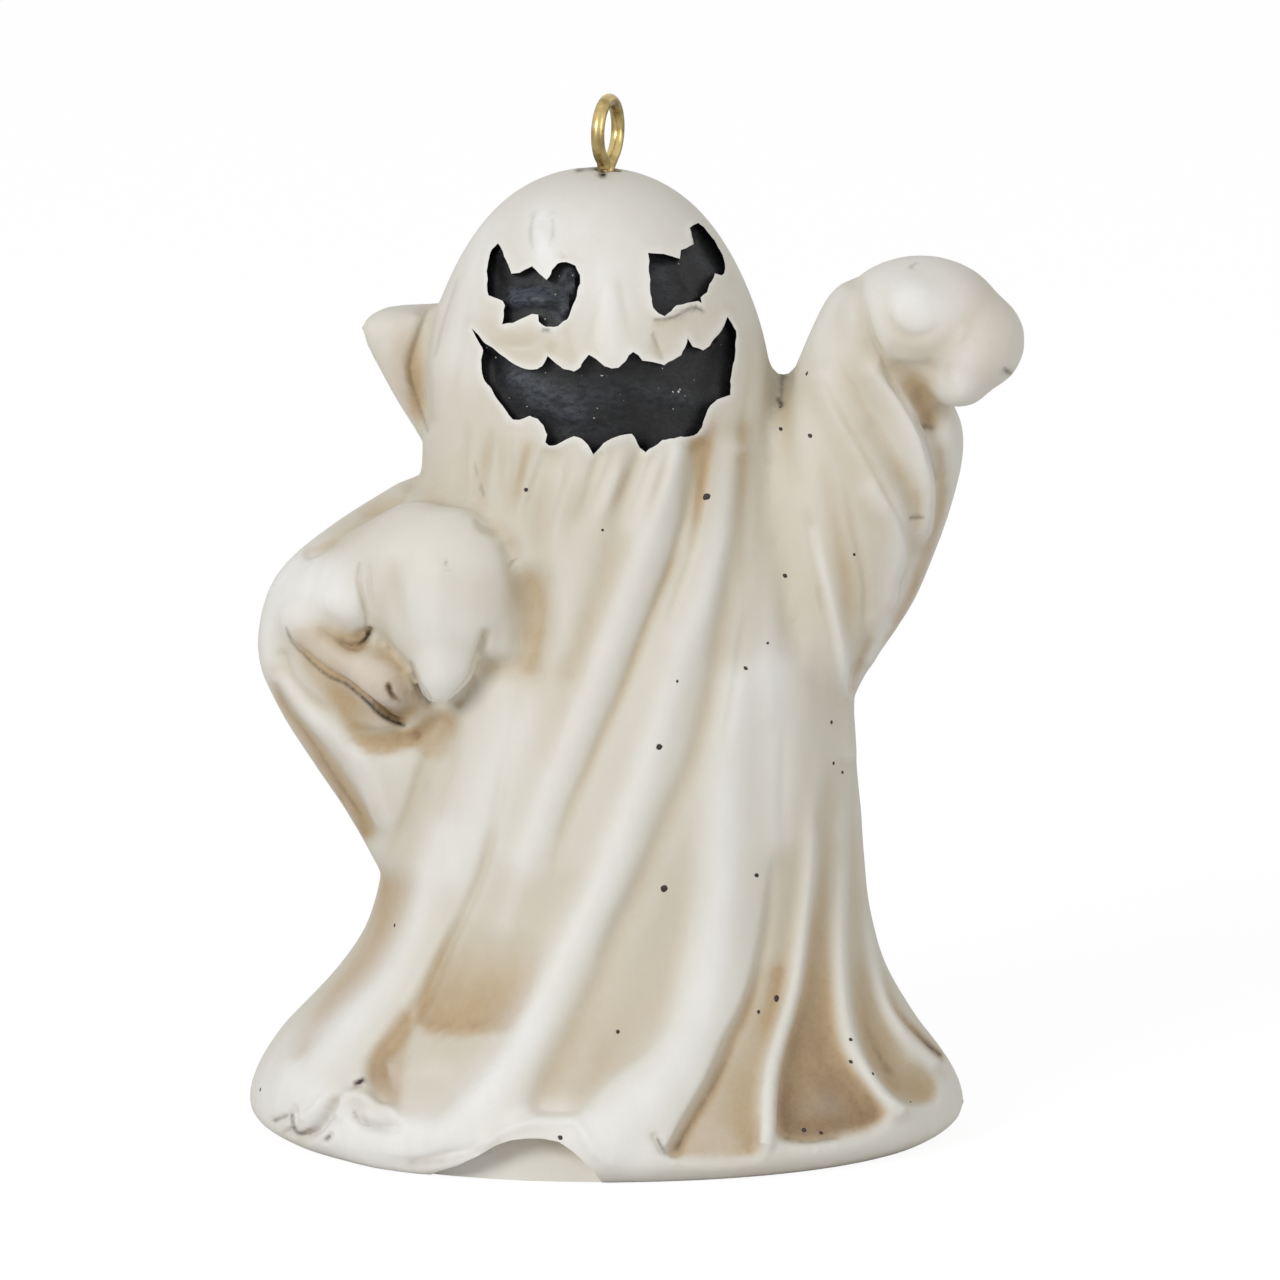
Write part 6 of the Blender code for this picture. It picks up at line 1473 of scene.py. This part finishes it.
def brassMaterial(group):
    paint = Paint("brass wire")
    grain = paint.grain(group, *brass["grain"])
    tarnish = paint.range(paint.noise(*brass["tarnish"]), *brass["tarnishRange"])
    return paint.finish({
        "Base Color": paint.mix(tarnish, linear(brass["bright"]), linear(brass["dull"])),
        "Metallic": 1.0,
        "Roughness": paint.range(grain, *brass["roughness"])})


def speckMaterial():
    paint = Paint("dark speck")
    tone = paint.range(paint.noise(*darkSpeck["tone"]), *darkSpeck["toneRange"])
    return paint.finish({
        "Base Color": paint.mix(tone, linear(darkSpeck["dark"]), linear(darkSpeck["lighter"])),
        "Roughness": darkSpeck["roughness"]})


# The casting

def smoothSkin(body, name, steps):
    smooth = body.modifiers.new(name, "SMOOTH")
    smooth.factor = skin["smoothFactor"]
    smooth.iterations = steps


def makeBody(resin, black):
    body = addObject("ghost_casting", roughCasting())
    remesh = body.modifiers.new("one skin", "REMESH")
    remesh.mode = "VOXEL"
    remesh.voxel_size = skin["voxel"] * mm
    smoothSkin(body, "soft joins", skin["smoothSteps"])
    mesh = finishedMesh(body)
    print("skin:", len(mesh.polygons), "faces")
    refine(mesh, skin["firstStrip"])
    pressFolds(mesh, False)
    refine(mesh, skin["secondStrip"])
    pressFolds(mesh, True)
    smoothSkin(body, "even folds", skin["evenSteps"])
    mesh = finishedMesh(body)
    cutFoot(mesh)
    print("folds pressed:", len(mesh.polygons), "faces")
    lighter = body.modifiers.new("lighter", "DECIMATE")
    lighter.ratio = skin["faces"] / len(mesh.polygons)
    finishedMesh(body)
    cutRecesses(body, resin, black)
    mesh = body.data
    markPaint(mesh)
    mesh.shade_smooth()
    mesh.set_sharp_from_angle(angle=math.radians(skin["sharpAngle"]))
    print("recesses cut:", len(mesh.polygons), "faces")
    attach(body, "root")
    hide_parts("ghost_body")
    return body


# Specks

specks = {
    "size": 0.2, "flatness": 0.3,
    "narrowest": (0.75, 0.75, 1.0), "widest": (1.25, 1.25, 1.0),
    "lumpsAcross": 1.3, "lumpDetail": 2.0,
    # small dark specks at the front, in the photograph's 1280-pixel frame
    "pixels": (
        (527, 491), (603, 531), (706, 498), (784, 576), (853, 555), (767, 643), (745, 668), (677, 681),
        (659, 746), (831, 722), (833, 763), (842, 772), (664, 887), (756, 874), (776, 997), (758, 1010),
        (618, 1029), (850, 1038), (850, 1060), (561, 1133), (395, 925), (260, 1090), (361, 1080), (806, 375),
        (809, 437), (780, 430), (780, 408), (857, 692), (803, 1127), (820, 1130), (910, 1101), (872, 1072),
    ),
    "big": (2, 8, 12, 14), "small": (1, 4, 5, 7, 26, 30),      # which of them are larger or smaller
    "bigShare": 1.15, "smallShare": 0.5, "usualShare": 0.8,
    "pixelScale": 13.4, "pixelOrigin": (608, 1128),
    # those behind: how many, over which part of half a turn, heights and shares of the size
    "backCount": 26, "backTurn": (0.15, 0.85), "backHeights": (4.0, 62.0), "backShares": (0.7, 1.3),
    "castFrom": 60.0,
    "seed": 7,
}


def speckTree(material):
    # A small lumpy flake on each point, turned and sized by a fixed seed
    tree = bpy.data.node_groups.new("specks on points", "GeometryNodeTree")
    addSocket(tree, "Geometry", "NodeSocketGeometry", "INPUT")
    addSocket(tree, "Speck Size", "NodeSocketFloat", "INPUT", specks["size"] * mm)
    addSocket(tree, "Flatness", "NodeSocketFloat", "INPUT", specks["flatness"])
    addSocket(tree, "Seed", "NodeSocketInt", "INPUT", specks["seed"])
    addSocket(tree, "Geometry", "NodeSocketGeometry", "OUTPUT")
    given = tree.nodes.new("NodeGroupInput").outputs

    def made(kind, inputs, **settings):
        return addNode(tree, kind, inputs, **settings).outputs[0]

    # the flake: a small ball pushed to and fro by noise
    ball = made("GeometryNodeMeshIcoSphere", {"Subdivisions": 2, "Radius": 1.0})
    lumps = addNode(tree, "ShaderNodeTexNoise", {
        "Scale": specks["lumpsAcross"], "Detail": specks["lumpDetail"]})
    push = made("ShaderNodeVectorMath", {
        0: lumps.outputs["Color"], 1: (0.5, 0.5, 0.5)}, operation="SUBTRACT")
    flake = made("GeometryNodeSetPosition", {"Geometry": ball, "Offset": push})

    # its size: the speck's own share, flat along the surface's normal, and varied in width
    out = made("GeometryNodeInputNamedAttribute", {"Name": "out"}, data_type="FLOAT_VECTOR")
    share = made("GeometryNodeInputNamedAttribute", {"Name": "share"}, data_type="FLOAT")
    aligned = made("FunctionNodeAlignRotationToVector", {"Vector": out}, axis="Z")
    widths = made("FunctionNodeRandomValue", {
        0: specks["narrowest"], 1: specks["widest"], "Seed": given["Seed"]}, data_type="FLOAT_VECTOR")
    base = made("ShaderNodeMath", {0: given["Speck Size"], 1: share}, operation="MULTIPLY")
    shape = made("ShaderNodeCombineXYZ", {"X": 1.0, "Y": 1.0, "Z": given["Flatness"]})
    sized = made("ShaderNodeVectorMath", {0: shape, "Scale": base}, operation="SCALE")
    varied = made("ShaderNodeVectorMath", {0: sized, 1: widths}, operation="MULTIPLY")

    placed = made("GeometryNodeInstanceOnPoints", {
        "Points": given["Geometry"], "Instance": flake, "Rotation": aligned, "Scale": varied})
    turns = made("FunctionNodeRandomValue", {
        0: (0.0, 0.0, 0.0), 1: (0.0, 0.0, 2 * math.pi), "Seed": given["Seed"]}, data_type="FLOAT_VECTOR")
    turned = made("GeometryNodeRotateInstances", {
        "Instances": placed, "Rotation": turns, "Local Space": True})
    real = made("GeometryNodeRealizeInstances", {"Geometry": turned})
    painted = made("GeometryNodeSetMaterial", {"Geometry": real, "Material": material})
    addNode(tree, "NodeGroupOutput", {"Geometry": painted})
    return tree


def speckShare(index):
    if index in specks["big"]:
        return specks["bigShare"]
    if index in specks["small"]:
        return specks["smallShare"]
    return specks["usualShare"]


def speckPlaces(mesh):
    # Place, normal and share of the size of every speck
    tree = skinTree(mesh)
    originX, originY = specks["pixelOrigin"]
    found = []
    for index, (x, y) in enumerate(specks["pixels"]):
        start = Vector(((x - originX) / specks["pixelScale"], 0.0, 0.0))
        start += upward * ((originY - y) / specks["pixelScale"]) - sight * specks["castFrom"]
        place, normal, _, _ = tree.ray_cast(start * mm, sight)
        if place is not None:
            found.append((place, normal, speckShare(index)))
    random = np.random.default_rng(specks["seed"])
    for _ in range(specks["backCount"]):
        angle = random.uniform(*specks["backTurn"]) * math.pi
        height = random.uniform(*specks["backHeights"])
        outwards = Vector((math.cos(angle), math.sin(angle), 0.0))
        start = outwards * specks["castFrom"] + Vector((0.0, 0.0, height))
        place, normal, _, _ = tree.ray_cast(start * mm, -outwards)
        if place is not None:
            found.append((place, normal, random.uniform(*specks["backShares"])))
    return found


def makeSpecks(body, material):
    found = speckPlaces(body.data)
    mesh = bpy.data.meshes.new("specks")
    mesh.from_pydata([place for place, _, _ in found], [], [])
    outwards = np.array([normal for _, normal, _ in found], dtype=np.float32)
    mesh.attributes.new("out", "FLOAT_VECTOR", "POINT").data.foreach_set("vector", outwards.ravel())
    storeValue(mesh, "share", np.array([share for _, _, share in found]))
    item = addObject("paint_specks", mesh)
    nodes = item.modifiers.new("specks", "NODES")
    nodes.node_group = speckTree(material)
    values = {"Speck Size": specks["size"] * mm, "Flatness": specks["flatness"], "Seed": specks["seed"]}
    for entry in nodes.node_group.interface.items_tree:
        if entry.name in values:
            nodes[entry.identifier] = values[entry.name]
    finishedMesh(item).shade_smooth()
    print("specks:", len(found))
    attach(item, "root")


# Screw eye

screwEye = {
    "wire": 1.0, "outside": 5.6, "place": (0.0, 0.0),
    "gapAngle": 27.0, "turn": 19.0,         # degrees: half of the ring's gap, and the ring's turn
    "shank": 8.0, "straight": 4.0,          # depth of its end and of its straight part in the crown
    # the bend from the shank into the ring, and the ring's free end, as out and up from the crown
    "bend": ((0.0, -0.5), (0.04, -0.05), (0.45, 0.36)),
    "freeEnd": ((-0.92, 0.42), (-0.88, 0.12)),
    "bendSteps": 6, "freeSteps": 5, "arcSteps": 132, "sides": 28,
    "endShare": 0.86,           # of the wire's thickness, at both ends
    "sharpAngle": 50.0,
}


def wireRoute():
    # The wire's middle line as (out, height) pairs
    radius = (screwEye["outside"] - screwEye["wire"]) / 2
    middle = crownHeight + screwEye["outside"] / 2
    gap = math.radians(screwEye["gapAngle"])
    arc = [(radius * math.sin(angle), middle - radius * math.cos(angle))
           for angle in np.linspace(gap, 2 * math.pi - gap, screwEye["arcSteps"])]
    bend = [(out, crownHeight + rise) for out, rise in screwEye["bend"]]
    freeEnd = [(out, crownHeight + rise) for out, rise in screwEye["freeEnd"]]
    bend = smoothRows((*bend, arc[0]), screwEye["bendSteps"])[:-1]
    freeEnd = smoothRows((arc[-1], *freeEnd), screwEye["freeSteps"])[1:]
    shank = [(0.0, crownHeight - screwEye["shank"]), (0.0, crownHeight - screwEye["straight"])]
    return [*shank, *bend, *arc, *freeEnd]


def makeEye(material):
    turn = math.radians(screwEye["turn"])
    flat = Vector((math.sin(turn), math.cos(turn), 0.0))
    across = Vector((math.cos(turn), -math.sin(turn), 0.0))
    foot = Vector((*screwEye["place"], 0.0))
    centres = [foot + flat * out + Vector((0.0, 0.0, height)) for out, height in wireRoute()]
    bm = bmesh.new()
    loops = []
    for index, centre in enumerate(centres):
        ahead = centres[min(index + 1, len(centres) - 1)] - centres[max(index - 1, 0)]
        side = ahead.normalized().cross(across)
        atEnd = index in (0, len(centres) - 1)
        thick = screwEye["wire"] / 2 * (screwEye["endShare"] if atEnd else 1.0)
        loop = []
        for step in range(screwEye["sides"]):
            angle = 2 * math.pi * step / screwEye["sides"]
            outwards = across * math.cos(angle) + side * math.sin(angle)
            loop.append(bm.verts.new((centre + outwards * thick) * mm))
        loops.append(loop)
    joinLoops(bm, loops)
    bmesh.ops.recalc_face_normals(bm, faces=bm.faces[:])
    mesh = meshFrom(bm, "wire_eye")
    mesh.materials.append(material)
    mesh.shade_smooth()
    mesh.set_sharp_from_angle(angle=math.radians(screwEye["sharpAngle"]))
    item = addObject("wire_eye", mesh)
    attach(item, "root")
    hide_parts("screw_eye")
    print("screw eye:", len(mesh.polygons), "faces")


placeCamera()
lightScene()
makeFloor()
grainGroup = handGrain()
ghost = makeBody(ivoryMaterial(grainGroup), blackMaterial(grainGroup))
makeSpecks(ghost, speckMaterial())
makeEye(brassMaterial(grainGroup))
